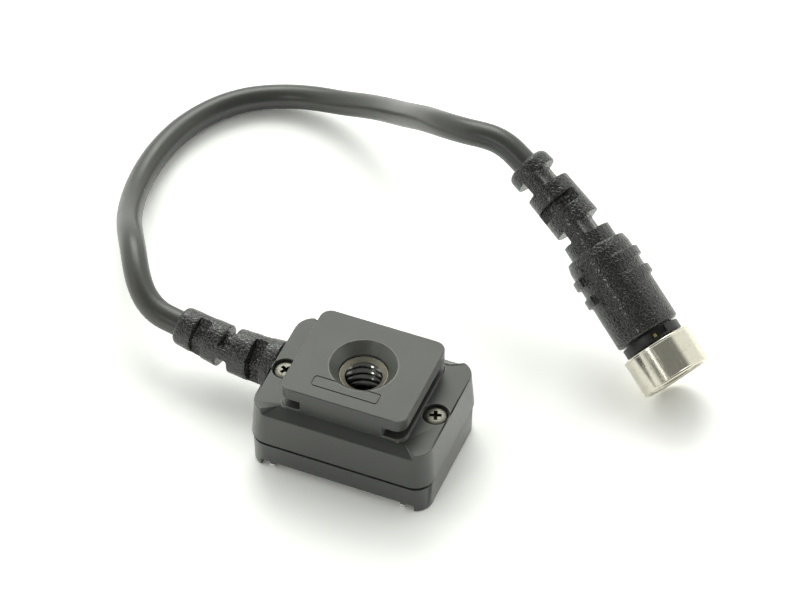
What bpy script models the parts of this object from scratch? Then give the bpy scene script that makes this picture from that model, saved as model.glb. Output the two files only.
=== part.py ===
"""Shoe adapter on a short lead: a two-part case with an accessory foot and tripod socket on top,
a female shoe underneath, and a moulded plug with a turning coupling ring at the far end of the lead.

The case stands on the ground plane with its centre over the origin. The foot is at +Z, the lead
leaves at -X, and the closed end of the shoe faces -Y. Sizes are in millimetres, times MM.
"""
import math

import bmesh
import bpy
import numpy as np
from mathutils import Matrix, Vector

MM = 0.001
GAP = 0.3 * MM          # clearance between neighbouring pieces
FINE_GAP = 0.2 * MM     # clearance of screws and of the shoe rail
REACH = 2.0 * MM        # how far a cutter runs past the face that it opens

# Case: two drafted shells that meet at a seam
CASE_HALF_X = 13.2 * MM
CASE_HALF_Y = 9.6 * MM
CASE_FLARE = 0.4 * MM
CASE_CORNER = 2.8 * MM
BASE_HEIGHT = 5.0 * MM
COVER_HEIGHT = 6.25 * MM
SEAM_STEP = 0.25 * MM
WALL = 1.3 * MM
FRONT_LIFT = 1.15 * MM
CORNER_FOOT = 1.9 * MM
MEMBRANE = 1.25 * MM

# Accessory foot and tripod socket
FOOT_CENTRE_Y = 0.2 * MM
FOOT_HALF_X = 9.3 * MM
FOOT_HALF_Y = 8.1 * MM
FOOT_CORNER = 1.6 * MM
FOOT_PLATE = 2.0 * MM
FOOT_GROOVE = 1.55 * MM
FOOT_FLANGE = 0.4 * MM
NECK_HALF = 6.15 * MM
STRIP_DROP = 0.75 * MM
STRIP_MITRE = 2.3 * MM
SOCKET_MOUTH = 4.75 * MM
SOCKET_THROAT = 3.45 * MM
SOCKET_CONE = 1.55 * MM
SOCKET_LIP = 0.3 * MM
BUSH_BORE = 3.2 * MM
BUSH_RADIUS = 4.3 * MM
BUSH_DEPTH = 5.4 * MM
BUSH_FLOOR = 0.8 * MM
BUSH_FLANGE = 5.4 * MM
BUSH_FLANGE_THICKNESS = 1.0 * MM

# Case screws, beside the rail
SCREW_BESIDE_RAIL = 1.05 * MM
SCREW_Y = -1.1 * MM
SCREW_HEAD = 1.7 * MM
SCREW_HEAD_HEIGHT = 0.9 * MM
SCREW_SINK = 0.2 * MM
SCREW_SHANK = 0.75 * MM
SCREW_TIP = 1.6 * MM
SCREW_BOSS = 2.3 * MM

# Female shoe
SLOT_HALF = 9.35 * MM
THROAT_HALF = 6.25 * MM
SLOT_HEIGHT = 2.1 * MM
RAIL_SHEET = 0.8 * MM
RAIL_CLEARANCE = 0.3 * MM
RAIL_BEND = 0.5 * MM
RAIL_TAB = 1.2 * MM
BLOCK_HALF_X = 6.6 * MM
BLOCK_HALF_Y = 5.0 * MM
BLOCK_CENTRE_Y = 0.8 * MM
CONTACT_RADIUS = 1.6 * MM
SIGNAL_RADIUS = 0.75 * MM
CONTACT_PROUD = 0.45 * MM
SIGNAL_PLACES = ((-4.2 * MM, 2.8 * MM), (4.2 * MM, 2.8 * MM), (-4.2 * MM, -1.6 * MM))
SPRING_X = 8.1 * MM
SPRING_HALF_WIDTH = 0.8 * MM
SPRING_HALF_LENGTH = 6.2 * MM
SPRING_THICKNESS = 0.25 * MM
SPRING_BOW = 0.55 * MM
SHOE_SCREW_X = 5.3 * MM
SHOE_SCREW_Y = 6.9 * MM
SHOE_SCREW_HEAD = 1.05 * MM
SHOE_SCREW_HEAD_HEIGHT = 0.5 * MM
SHOE_SCREW_SHANK = 0.5 * MM
BOARD_THICKNESS = 0.6 * MM

# Lead and its route: the middle of its free stretch, chosen by hand along the pictured line.
# Both ends follow from the reliefs.
LEAD_RADIUS = 1.9 * MM
LEAD_STEP = 4 * LEAD_RADIUS
LEAD_ROUTE = [
    (-35.1, 5.5, 8.2), (-38.2, 8.1, 9.4), (-40.9, 12.1, 10.1), (-45.9, 20.6, 6.9),
    (-49.8, 30.7, 3.2), (-50.9, 38.9, 2.1), (-50.0, 45.7, 2.0), (-47.4, 51.8, 2.0),
    (-43.4, 56.3, 2.1), (-38.5, 58.9, 2.3), (-33.5, 59.7, 3.0), (-28.6, 59.2, 4.2),
    (-24.1, 57.8, 6.3), (-19.4, 55.2, 9.3), (-14.3, 50.8, 13.8), (-9.1, 45.8, 19.0),
    (-4.5, 42.5, 22.1), (-0.4, 41.2, 23.4), (3.6, 40.9, 23.6),
]

# Strain reliefs: rings joined by bridges, alternately on one pair of sides and on the other.
# Steps are the lengths from the root to the tail, solid and cut by turns. The lead's jacket shows
# in the cuts. A relief bends only at some of its cuts: its flex gives the share of each.
CORE_RADIUS = LEAD_RADIUS
RELIEF_ROUND = 0.8 * MM
RELIEF_EDGE = 0.05 * MM
BOX_RELIEF_STEPS = [2.15 * MM, 2.0 * MM, 3.05 * MM, 1.65 * MM, 2.5 * MM, 1.9 * MM, 3.0 * MM]
BOX_RELIEF_FLEX = {1: 0.4, 3: 0.6}
BOX_RELIEF_BRIDGE = 0.85 * MM
BOX_RELIEF_ROOT = 3.65 * MM
BOX_RELIEF_TAIL = 2.85 * MM
BOX_RELIEF_Y = 3.3 * MM
BOX_RELIEF_Z = 6.3 * MM
BOX_RELIEF_YAW = math.radians(6.2)
BOX_RELIEF_RISE = math.radians(6.2)
BOX_RELIEF_ROLL = math.radians(65.0)
RELIEF_NECK = 2.3 * MM
RELIEF_FLANGE = 2.9 * MM
RELIEF_FLANGE_THICKNESS = 0.8 * MM

# Plug: measured along its axis from the open end of the ring towards the lead
PLUG_TIP = Vector((38.0, 23.75, 4.65)) * MM
PLUG_HEADING = math.radians(-30.0)
PLUG_TILT = math.radians(30.0)
PLUG_ROLL = math.radians(48.0)
PLUG_RELIEF_STEPS = [2.35 * MM, 2.0 * MM, 2.65 * MM, 1.75 * MM, 2.45 * MM, 2.35 * MM, 2.3 * MM]
PLUG_RELIEF_FLEX = {1: 0.64, 5: 0.36}
PLUG_RELIEF_BRIDGE = 1.25 * MM
PLUG_RELIEF_ROOT = 3.7 * MM
PLUG_RELIEF_TAIL = 3.35 * MM
PLUG_RELIEF_DROOP = math.radians(9.3)
PLUG_RELIEF_YAW = math.radians(7.4)
RING_LENGTH = 5.6 * MM
RING_RADIUS = 5.3 * MM
RING_BORE = 4.55 * MM
RING_LIP = 0.9 * MM
COLLAR_LENGTH = 1.35 * MM
COLLAR_RADIUS = 4.45 * MM
COLLAR_SPIGOT = 3.4 * MM
COLLAR_SPIGOT_LENGTH = 4.0 * MM
BODY_LENGTH = 12.9 * MM
BODY_RADIUS = 4.85 * MM
BODY_CONE = 1.2 * MM
BODY_CONE_TOP = 4.55 * MM
GRIP_RIB_HEIGHT = 0.5 * MM
GRIP_RIB_WIDTH = 1.35 * MM
GRIP_RIB_PLACES = (2.55 * MM, 5.55 * MM)
GRIP_RIB_OPEN = 2.8 * MM
SHELL_RADIUS = 3.7 * MM
SHELL_WALL = 0.5 * MM
SHELL_SETBACK = 0.6 * MM
SHELL_SHOULDER = 4.25 * MM
SHELL_SHOULDER_WIDTH = 0.7 * MM
INSULATOR_DEPTH = 2.0 * MM
PIN_RADIUS = 0.4 * MM
PIN_CIRCLE = 1.75 * MM
PIN_COUNT = 4
PIN_REACH = 1.7 * MM
CLIP_HALF_WIDTH = 0.35 * MM
CLIP_THICKNESS = 0.35 * MM
CLIP_TURN = math.radians(-20.0)
CLIP_SLOT = 2.4 * MM
CLIP_SLOT_DEPTH = 1.0 * MM

ROUND_STEPS = 36
SMALL_STEPS = 20

# Heights that follow from the sizes above
CASE_TOP = BASE_HEIGHT + COVER_HEIGHT
FOOT_TOP = CASE_TOP + FOOT_FLANGE + FOOT_GROOVE + FOOT_PLATE
BASE_TOP = BASE_HEIGHT - GAP / 2
COVER_BOTTOM = BASE_HEIGHT + GAP / 2
CEILING = CASE_TOP - WALL
SEAM_HALF_X = CASE_HALF_X + CASE_FLARE
SEAM_HALF_Y = CASE_HALF_Y + CASE_FLARE
BASE_HALF_X = SEAM_HALF_X - SEAM_STEP
BASE_HALF_Y = SEAM_HALF_Y - SEAM_STEP
RAIL_BOTTOM = RAIL_CLEARANCE
RAIL_TOP = RAIL_BOTTOM + SLOT_HEIGHT + 2 * RAIL_SHEET
SLOT_TOP = RAIL_TOP - RAIL_SHEET
RAIL_HALF = SLOT_HALF + RAIL_SHEET
SCREW_X = RAIL_HALF + SCREW_BESIDE_RAIL
RAIL_FRONT = -(BASE_HALF_Y - WALL)
RAIL_BACK = BASE_HALF_Y - GAP
POCKET_TOP = RAIL_TOP + GAP
MEMBRANE_TOP = POCKET_TOP + MEMBRANE
BOARD_BOTTOM = MEMBRANE_TOP + GAP
BUSH_TOP = FOOT_TOP - SOCKET_CONE - SOCKET_LIP - GAP
BUSH_BOTTOM = BUSH_TOP - BUSH_DEPTH - BUSH_FLOOR
BODY_START = RING_LENGTH + GAP + COLLAR_LENGTH + GAP
BODY_END = BODY_START + BODY_LENGTH + BODY_CONE

BLACK_PLASTIC = (0.022, 0.023, 0.024, 1.0)
BLACK_RUBBER = (0.018, 0.018, 0.019, 1.0)
NICKEL = (0.76, 0.74, 0.70, 1.0)
BRASS = (0.72, 0.52, 0.22, 1.0)
BOARD_GREEN = (0.05, 0.16, 0.08, 1.0)


def clear_scene():
    """Remove every object, so that the model starts from an empty file."""
    for stale in list(bpy.data.objects):
        bpy.data.objects.remove(stale, do_unlink=True)


def new_collection(name):
    """Make a collection under the scene and return it."""
    made = bpy.data.collections.new(name)
    bpy.context.scene.collection.children.link(made)
    return made


clear_scene()
PARTS = new_collection("shoe_adapter")
CUTTERS = new_collection("cutters")


def material(name, colour, roughness, metallic=0.0):
    """Return a Principled material with the given colour, roughness and metallic value."""
    made = bpy.data.materials.new(name)
    made.use_nodes = True
    shader = made.node_tree.nodes["Principled BSDF"]
    shader.inputs["Base Color"].default_value = colour
    shader.inputs["Roughness"].default_value = roughness
    shader.inputs["Metallic"].default_value = metallic
    return made


def add(name, mesh, parent=None):
    """Wrap a mesh in an object of the part, under a parent empty if one is given."""
    made = bpy.data.objects.new(name, mesh)
    PARTS.objects.link(made)
    made.parent = parent
    return made


def from_bmesh(name, shape, parent=None):
    """Turn a bmesh into an object of the part."""
    mesh = bpy.data.meshes.new(name)
    shape.to_mesh(mesh)
    shape.free()
    return add(name, mesh, parent)


def as_cutter(part):
    """Move an object to the cutters, hidden and drawn as a wire."""
    PARTS.objects.unlink(part)
    CUTTERS.objects.link(part)
    part.hide_render = True
    part.display_type = "WIRE"
    return part


def combine(part, tool, operation):
    """Cut, join or intersect a piece with another shape, which becomes a cutter."""
    step = part.modifiers.new(operation.lower(), "BOOLEAN")
    step.operation = operation
    step.solver = "EXACT"
    step.object = as_cutter(tool) if tool.name in PARTS.objects else tool
    return part


def cut(part, *tools):
    """Cut a piece with each of the tools in turn."""
    for tool in tools:
        combine(part, tool, "DIFFERENCE")
    return part


def bake(part):
    """Replace a piece's mesh by its evaluated one, with every modifier used up."""
    bpy.context.view_layer.update()
    evaluated = part.evaluated_get(bpy.context.evaluated_depsgraph_get())
    part.data = bpy.data.meshes.new_from_object(evaluated)
    tools = [step.object for step in part.modifiers if step.type == "BOOLEAN"]
    part.modifiers.clear()
    for tool in tools:
        bpy.data.objects.remove(tool, do_unlink=True)
    return part


def dress(part, finish, angle=35.0):
    """Use a piece's modifiers up, give it its material and shade its round faces smooth."""
    bake(part)
    part.data.materials.clear()
    part.data.materials.append(finish)
    part.data.shade_smooth()
    part.data.set_sharp_from_angle(angle=math.radians(angle))
    return part


def block(name, half_x, half_y, low, high, centre=(0.0, 0.0), corner=0.0, flare=0.0, parent=None):
    """Upright box from low to high; its upright edges are rounded by corner, and its foot is
    wider than its top by flare on each side."""
    shape = bmesh.new()
    bmesh.ops.create_cube(shape, size=2.0)
    bmesh.ops.scale(shape, verts=shape.verts, vec=(half_x, half_y, (high - low) / 2))
    if corner > 0:
        uprights = [e for e in shape.edges if abs(e.verts[0].co.z - e.verts[1].co.z) > GAP]
        bmesh.ops.bevel(shape, geom=uprights, offset=corner, segments=6, profile=0.5,
                        affect="EDGES")
    lower = [v for v in shape.verts if v.co.z < 0]
    bmesh.ops.scale(shape, verts=lower, vec=(1 + flare / half_x, 1 + flare / half_y, 1))
    bmesh.ops.translate(shape, verts=shape.verts, vec=(centre[0], centre[1], (low + high) / 2))
    return from_bmesh(name, shape, parent)


def rod(name, radius, low, high, centre=(0.0, 0.0), top_radius=None, steps=ROUND_STEPS,
        parent=None):
    """Upright cylinder, or cone if top_radius is given, from low to high."""
    shape = bmesh.new()
    upper = radius if top_radius is None else top_radius
    bmesh.ops.create_cone(shape, cap_ends=True, segments=steps, radius1=radius, radius2=upper,
                          depth=high - low)
    bmesh.ops.translate(shape, verts=shape.verts, vec=(centre[0], centre[1], (low + high) / 2))
    return from_bmesh(name, shape, parent)


def turned(name, profile, centre=(0.0, 0.0), steps=ROUND_STEPS, closed=False, parent=None):
    """Body of revolution about Z from (radius, height) points that run down the outer side."""
    mesh = bpy.data.meshes.new(name)
    points = [(radius, 0.0, height) for radius, height in profile]
    count = len(points)
    edges = [(i, i + 1) for i in range(count - 1)]
    if closed:
        edges.append((count - 1, 0))
    mesh.from_pydata(points, edges, [])
    part = add(name, mesh, parent)
    part.location = (centre[0], centre[1], 0.0)
    screw = part.modifiers.new("turn", "SCREW")
    screw.axis = "Z"
    screw.steps = steps
    screw.render_steps = steps
    screw.use_merge_vertices = True
    screw.merge_threshold = 0.00001
    return part


def outline_prism(name, points, half_depth, parent=None):
    """Flat outline in X and Z, filled and thickened along Y by half_depth each way."""
    curve = bpy.data.curves.new(name, "CURVE")
    curve.dimensions = "2D"
    curve.fill_mode = "BOTH"
    curve.extrude = half_depth
    line = curve.splines.new("POLY")
    line.points.add(len(points) - 1)
    for point, (x, z) in zip(line.points, points):
        point.co = (x, z, 0.0, 1.0)
    line.use_cyclic_u = True
    drawn = bpy.data.objects.new(name + "_outline", curve)
    PARTS.objects.link(drawn)
    bpy.context.view_layer.update()
    evaluated = drawn.evaluated_get(bpy.context.evaluated_depsgraph_get())
    mesh = bpy.data.meshes.new_from_object(evaluated)
    bpy.data.objects.remove(drawn, do_unlink=True)
    shape = bmesh.new()
    shape.from_mesh(mesh)
    bmesh.ops.remove_doubles(shape, verts=shape.verts, dist=0.00001)
    bmesh.ops.rotate(shape, verts=shape.verts, matrix=Matrix.Rotation(math.pi / 2, 3, "X"))
    shape.to_mesh(mesh)
    shape.free()
    return add(name, mesh, parent)


def arc(centre_x, centre_z, radius, start, stop, count=4):
    """Points on an arc in X and Z, angles in degrees."""
    angles = np.radians(np.linspace(start, stop, count + 1))
    return [(centre_x + radius * math.cos(a), centre_z + radius * math.sin(a)) for a in angles]


# ---------------------------------------------------------------- case

def strip_cutter(name, side):
    """Wedge over the sloped strip between the foot and one long side, with mitred ends."""
    inner = FOOT_CENTRE_Y + side * FOOT_HALF_Y
    outer = side * (CASE_HALF_Y + REACH)
    drop = STRIP_DROP * (outer - inner) / (side * CASE_HALF_Y - inner)
    spread = STRIP_MITRE * (outer - inner) / (side * CASE_HALF_Y - inner)
    shape = bmesh.new()
    bmesh.ops.create_cube(shape, size=2.0)
    for corner in shape.verts:
        hand = math.copysign(1.0, corner.co.x)
        at_outer = corner.co.y * side > 0
        low = corner.co.z < 0
        height = (CASE_TOP - (drop if at_outer else 0.0)) if low else CASE_TOP + REACH
        half = FOOT_HALF_X - GAP + (spread if at_outer else 0.0)
        slope = 0.5 * (height - CASE_TOP + STRIP_DROP)
        corner.co = (hand * (half + slope), outer if at_outer else inner, height)
    if side < 0:
        bmesh.ops.recalc_face_normals(shape, faces=shape.faces)
    return from_bmesh(name, shape)


def make_foot(name):
    """Accessory foot: a block as wide as its plate, grooved on both sides down to the neck."""
    centre = (0.0, FOOT_CENTRE_Y)
    foot = block(name, FOOT_HALF_X, FOOT_HALF_Y, CASE_TOP - WALL / 2, FOOT_TOP, centre,
                 FOOT_CORNER)
    groove_low = CASE_TOP + FOOT_FLANGE
    for hand, label in ((-1, "left"), (1, "right")):
        half = (FOOT_HALF_X - NECK_HALF + REACH) / 2
        middle = hand * (NECK_HALF + half)
        groove = block(f"groove_{label}", half, FOOT_HALF_Y + REACH, groove_low,
                       groove_low + FOOT_GROOVE, (middle, FOOT_CENTRE_Y))
        cut(foot, groove)
    return bake(foot)


def screw_places():
    """Sides and centres of the two case screws."""
    return (("left", (-SCREW_X, SCREW_Y)), ("right", (SCREW_X, SCREW_Y)))


def relief_hole(name):
    """Clearance round the neck and the inner flange of the box relief, along -X."""
    inside = CASE_HALF_X - WALL
    flange_face = SEAM_HALF_X + GAP - RELIEF_NECK_LENGTH
    profile = [(0.0, SEAM_HALF_X + REACH), (RELIEF_NECK + GAP, SEAM_HALF_X + REACH),
               (RELIEF_NECK + GAP, flange_face + GAP), (RELIEF_FLANGE + GAP, flange_face + GAP),
               (RELIEF_FLANGE + GAP, inside - RELIEF_FLANGE_THICKNESS - 2 * GAP),
               (0.0, inside - RELIEF_FLANGE_THICKNESS - 2 * GAP)]
    hole = turned(name, profile, steps=24)
    hole.location = (0.0, BOX_RELIEF_Y, BOX_RELIEF_Z)
    hole.rotation_euler = (0.0, -math.pi / 2, 0.0)
    return hole


RELIEF_NECK_LENGTH = WALL + CASE_FLARE + 2 * GAP


def make_cover(finish):
    """Upper shell with the foot moulded on, the socket through it and its screw bosses."""
    cover = block("upper_shell", CASE_HALF_X, CASE_HALF_Y, COVER_BOTTOM, CASE_TOP,
                  corner=CASE_CORNER, flare=CASE_FLARE)
    cut(cover, strip_cutter("strip_front", -1), strip_cutter("strip_back", 1))
    cavity = block("cover_cavity", CASE_HALF_X - WALL, CASE_HALF_Y - WALL, COVER_BOTTOM - REACH,
                   CEILING, corner=CASE_CORNER - WALL)
    for label, centre in screw_places():
        cut(cavity, rod(f"cover_boss_{label}", SCREW_BOSS, 0.0, CASE_TOP, centre))
    cut(cover, cavity)
    combine(cover, make_foot("foot_block"), "UNION")
    centre = (0.0, FOOT_CENTRE_Y)
    bore = BUSH_RADIUS + GAP
    socket = [(0.0, FOOT_TOP + REACH), (SOCKET_MOUTH, FOOT_TOP + REACH), (SOCKET_MOUTH, FOOT_TOP),
              (SOCKET_THROAT, FOOT_TOP - SOCKET_CONE),
              (SOCKET_THROAT, BUSH_TOP + GAP), (bore, BUSH_TOP + GAP), (bore, 0.0), (0.0, 0.0)]
    cut(cover, turned("socket_bore", socket, centre))
    for label, place in screw_places():
        shaft = SCREW_SHANK + FINE_GAP
        seat = CASE_TOP - SCREW_SINK - SCREW_HEAD_HEIGHT - FINE_GAP
        head = SCREW_HEAD + FINE_GAP
        profile = [(0.0, CASE_TOP + REACH), (head, CASE_TOP + REACH), (head, seat), (shaft, seat),
                   (shaft, 0.0), (0.0, 0.0)]
        cut(cover, turned(f"cover_screw_hole_{label}", profile, place, 24))
    cut(cover, relief_hole("cover_relief_hole"))
    return dress(cover, finish)


def make_base(finish):
    """Lower shell: an upturned tray for the shoe rail, with a raised membrane inside."""
    base = block("lower_shell", BASE_HALF_X, BASE_HALF_Y, 0.0, BASE_TOP,
                 corner=CASE_CORNER - SEAM_STEP, flare=-SEAM_STEP / 4)
    spigot_x = SCREW_X - SCREW_BOSS - GAP
    spigot_y = CASE_HALF_Y - WALL - GAP
    spigot = block("base_spigot", spigot_x, spigot_y, BASE_TOP - MEMBRANE / 2, MEMBRANE_TOP,
                   corner=1.0 * MM)
    combine(base, spigot, "UNION")
    pocket_back = BASE_HALF_Y + REACH
    pocket_front = RAIL_FRONT - GAP
    pocket = block("rail_pocket", RAIL_HALF + FINE_GAP, (pocket_back - pocket_front) / 2, -REACH,
                   POCKET_TOP, (0.0, (pocket_back + pocket_front) / 2))
    lift = block("front_lift", BASE_HALF_X - CORNER_FOOT, 2 * WALL, -REACH, FRONT_LIFT,
                 (0.0, -BASE_HALF_Y))
    cut(base, pocket, lift)
    for label, centre in screw_places():
        hole = rod(f"base_screw_hole_{label}", SCREW_SHANK + FINE_GAP, SCREW_TIP - FINE_GAP,
                   BASE_TOP + REACH, centre, steps=24)
        cut(base, hole)
    for label, centre in shoe_screw_places():
        hole = rod(f"base_{label}_hole", SHOE_SCREW_SHANK + FINE_GAP, RAIL_TOP,
                   shoe_screw_end() + FINE_GAP, centre, steps=16)
        cut(base, hole)
    wires = block("wire_window", BLOCK_HALF_X - 1.5 * MM, BLOCK_HALF_Y - 1.5 * MM, RAIL_TOP,
                  MEMBRANE_TOP + REACH, (0.0, BLOCK_CENTRE_Y))
    cut(base, wires, relief_hole("base_relief_hole"))
    return dress(base, finish)


def make_case_screw(name, centre, finish):
    """Pan-head screw from the cover into the base, its cross recess pressed into the head."""
    top = CASE_TOP - SCREW_SINK
    seat = top - SCREW_HEAD_HEIGHT
    profile = [(0.0, top), (SCREW_HEAD * 0.55, top - 0.05 * MM), (SCREW_HEAD * 0.88, top - 0.2 * MM),
               (SCREW_HEAD, top - 0.42 * MM), (SCREW_HEAD, seat), (SCREW_SHANK, seat),
               (SCREW_SHANK, SCREW_TIP + SCREW_SHANK), (0.0, SCREW_TIP)]
    screw = turned(name, profile, centre, 24)
    for label, turn in (("a", 0.0), ("b", math.pi / 2)):
        slot = block(f"{name}_slot_{label}", SCREW_HEAD * 0.6, 0.2 * MM, top - 0.5 * MM,
                     top + REACH)
        slot.location = (centre[0], centre[1], 0.0)
        slot.rotation_euler = (0.0, 0.0, turn + math.radians(20.0))
        cut(screw, slot)
    return dress(screw, finish)


def make_bush(finish):
    """Tripod bush: a blind metal insert at the thread's outer diameter, with an inner flange."""
    flange_top = CEILING - GAP
    flange_low = flange_top - BUSH_FLANGE_THICKNESS
    floor = BUSH_TOP - BUSH_DEPTH
    profile = [(0.0, floor), (BUSH_BORE, floor), (BUSH_BORE, BUSH_TOP), (BUSH_RADIUS, BUSH_TOP),
               (BUSH_RADIUS, flange_top), (BUSH_FLANGE, flange_top), (BUSH_FLANGE, flange_low),
               (BUSH_RADIUS, flange_low), (BUSH_RADIUS, BUSH_BOTTOM), (0.0, BUSH_BOTTOM)]
    return dress(turned("tripod_bush", profile, (0.0, FOOT_CENTRE_Y)), finish)


# ---------------------------------------------------------------- female shoe

def shoe_screw_places():
    """Names and centres of the four screws that hold the rail."""
    places = []
    for end, along in (("front", -1), ("back", 1)):
        for side, hand in (("left", -1), ("right", 1)):
            centre = (hand * SHOE_SCREW_X, BLOCK_CENTRE_Y + along * SHOE_SCREW_Y)
            places.append((f"shoe_screw_{end}_{side}", centre))
    return places


def shoe_screw_end():
    """Height of the tips of the shoe screws, inside the membrane."""
    return MEMBRANE_TOP - 2 * GAP


def make_rail(finish):
    """Bent sheet rail: a floor plate, two side walls and two inward lips, open at the back.

    The feet of its side walls end in tabs that reach under the case's raised front edge.
    """
    outer = RAIL_BEND + RAIL_SHEET / 2
    half = [(THROAT_HALF, RAIL_BOTTOM)]
    half += arc(RAIL_HALF - outer, RAIL_BOTTOM + outer, outer, -90, 0)
    half += arc(RAIL_HALF - outer, RAIL_TOP - outer, outer, 0, 90)
    inner = [(SLOT_HALF, SLOT_TOP), (SLOT_HALF, RAIL_BOTTOM + RAIL_SHEET),
             (THROAT_HALF, RAIL_BOTTOM + RAIL_SHEET)]
    left = [(-x, z) for x, z in half]
    points = half + left[::-1] + [(-x, z) for x, z in inner[::-1]] + inner
    length = RAIL_BACK - RAIL_FRONT
    rail = outline_prism("hot_shoe_rail", points, length / 2)
    rail.location = (0.0, (RAIL_BACK + RAIL_FRONT) / 2, 0.0)
    for side, hand in (("left", -1), ("right", 1)):
        tab = block(f"rail_tab_{side}", RAIL_SHEET / 2, RAIL_TAB, RAIL_BOTTOM,
                    FRONT_LIFT - GAP, (hand * (SLOT_HALF + RAIL_SHEET / 2), RAIL_FRONT))
        combine(rail, tab, "UNION")
    window = block("rail_window", BLOCK_HALF_X + FINE_GAP, BLOCK_HALF_Y + FINE_GAP,
                   SLOT_TOP - REACH / 2, RAIL_TOP + REACH, (0.0, BLOCK_CENTRE_Y))
    cut(rail, window)
    for label, centre in shoe_screw_places():
        shaft = SHOE_SCREW_SHANK + FINE_GAP
        head = SHOE_SCREW_HEAD + FINE_GAP
        sink = SLOT_TOP + SHOE_SCREW_HEAD_HEIGHT + FINE_GAP / 2
        profile = [(0.0, RAIL_TOP + REACH), (shaft, RAIL_TOP + REACH), (shaft, sink),
                   (head, SLOT_TOP), (head, SLOT_TOP - REACH / 2), (0.0, SLOT_TOP - REACH / 2)]
        cut(rail, turned(f"rail_{label}_hole", profile, centre, 16))
    return dress(rail, finish)


def make_shoe_screw(name, centre, finish):
    """Countersunk screw, its head flush with the slot side of the rail's floor plate."""
    head_top = SLOT_TOP + SHOE_SCREW_HEAD_HEIGHT
    profile = [(0.0, shoe_screw_end()), (SHOE_SCREW_SHANK, shoe_screw_end()),
               (SHOE_SCREW_SHANK, head_top), (SHOE_SCREW_HEAD, SLOT_TOP + 0.05 * MM),
               (0.0, SLOT_TOP + 0.05 * MM)]
    return dress(turned(name, profile, centre, 16), finish)


def contact_places():
    """Names, radii and centres of the four contacts, all in the insulating block."""
    places = [("centre_contact", CONTACT_RADIUS, (0.0, BLOCK_CENTRE_Y - 0.4 * MM))]
    for number, (x, y) in enumerate(SIGNAL_PLACES, 1):
        places.append((f"signal_contact_{number}", SIGNAL_RADIUS, (x, BLOCK_CENTRE_Y + y)))
    return places


def make_contact_block(finish):
    """Insulating block in the rail's window, drilled for the contacts."""
    made = block("contact_block", BLOCK_HALF_X, BLOCK_HALF_Y, SLOT_TOP, RAIL_TOP,
                 (0.0, BLOCK_CENTRE_Y), corner=0.5 * MM)
    for label, radius, centre in contact_places():
        cut(made, rod(f"{label}_hole", radius + FINE_GAP, 0.0, CASE_TOP, centre, steps=20))
    return dress(made, finish)


def make_contact(name, radius, centre, finish):
    """Round-nosed contact that stands proud into the slot, its stem up to the board."""
    nose = SLOT_TOP - CONTACT_PROUD
    shoulder = nose + 0.3 * MM
    profile = [(0.0, BOARD_BOTTOM - GAP), (radius * 0.6, BOARD_BOTTOM - GAP),
               (radius * 0.6, RAIL_TOP), (radius, RAIL_TOP), (radius, shoulder),
               (radius * 0.7, nose), (0.0, nose)]
    return dress(turned(name, profile, centre, SMALL_STEPS), finish)


def make_spring(name, hand, finish):
    """Bowed leaf spring along one side of the slot, which presses a foot against the lips."""
    steps = 10
    ends = SLOT_TOP - GAP
    shape = bmesh.new()
    bmesh.ops.create_grid(shape, x_segments=1, y_segments=steps, size=1.0)
    for corner in shape.verts:
        along = corner.co.y
        height = ends - SPRING_BOW * (1 - along * along)
        corner.co = (hand * SPRING_X + corner.co.x * SPRING_HALF_WIDTH,
                     BLOCK_CENTRE_Y + along * SPRING_HALF_LENGTH, height)
    spring = from_bmesh(name, shape)
    sheet = spring.modifiers.new("sheet", "SOLIDIFY")
    sheet.thickness = SPRING_THICKNESS
    sheet.offset = -1.0
    return dress(spring, finish)


def make_board(finish):
    """Contact board that lies on the membrane under the bush."""
    half_x = SCREW_X - SCREW_BOSS - 2 * GAP
    half_y = CASE_HALF_Y - WALL - 2 * GAP
    made = block("contact_board", half_x, half_y, BOARD_BOTTOM, BOARD_BOTTOM + BOARD_THICKNESS,
                 corner=0.8 * MM)
    return dress(made, finish)


# ---------------------------------------------------------------- strain reliefs

def relief_profile(steps, root, tail, start):
    """Tapered outer side of a relief, from its rounded tail down to its root.

    It has a point just inside each solid step's edges, so that no face spans two steps.
    """
    end = start + sum(steps)
    rounding = RELIEF_ROUND * np.array([(0.0, 0.0), (0.5, -0.13), (0.87, -0.5), (1.0, -1.0)])
    points = [(0.0, end)]
    points += [(tail - RELIEF_ROUND + out, end + down) for out, down in rounding]
    taper = (root - tail) / (end - RELIEF_ROUND - start)
    for place in range(len(steps) - 1, 0, -1):
        into_solid = -RELIEF_EDGE if place % 2 else RELIEF_EDGE
        height = start + sum(steps[:place]) + into_solid
        points.append((root - taper * (height - start), height))
    points.append((root, start))
    return points


def relief_cutters(name, steps, start, roll, first_turn, bulk, bridge_half):
    """Cutters that leave only the core and one pair of bridges at each cut step."""
    tools = []
    height = start
    turn = first_turn
    for place, length in enumerate(steps):
        if place % 2:
            tool = rod(f"{name}_cut_{place}", bulk, height, height + length)
            cut(tool, rod(f"{name}_core_{place}", CORE_RADIUS, height - REACH,
                          height + length + REACH, steps=24))
            bridge = block(f"{name}_bridge_{place}", 2 * bulk, bridge_half, height - REACH,
                           height + length + REACH)
            bridge.rotation_euler = (0.0, 0.0, turn - roll)
            cut(tool, bridge)
            tools.append(bake(tool))
            turn += math.pi / 2
        height += length
    return tools


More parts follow.
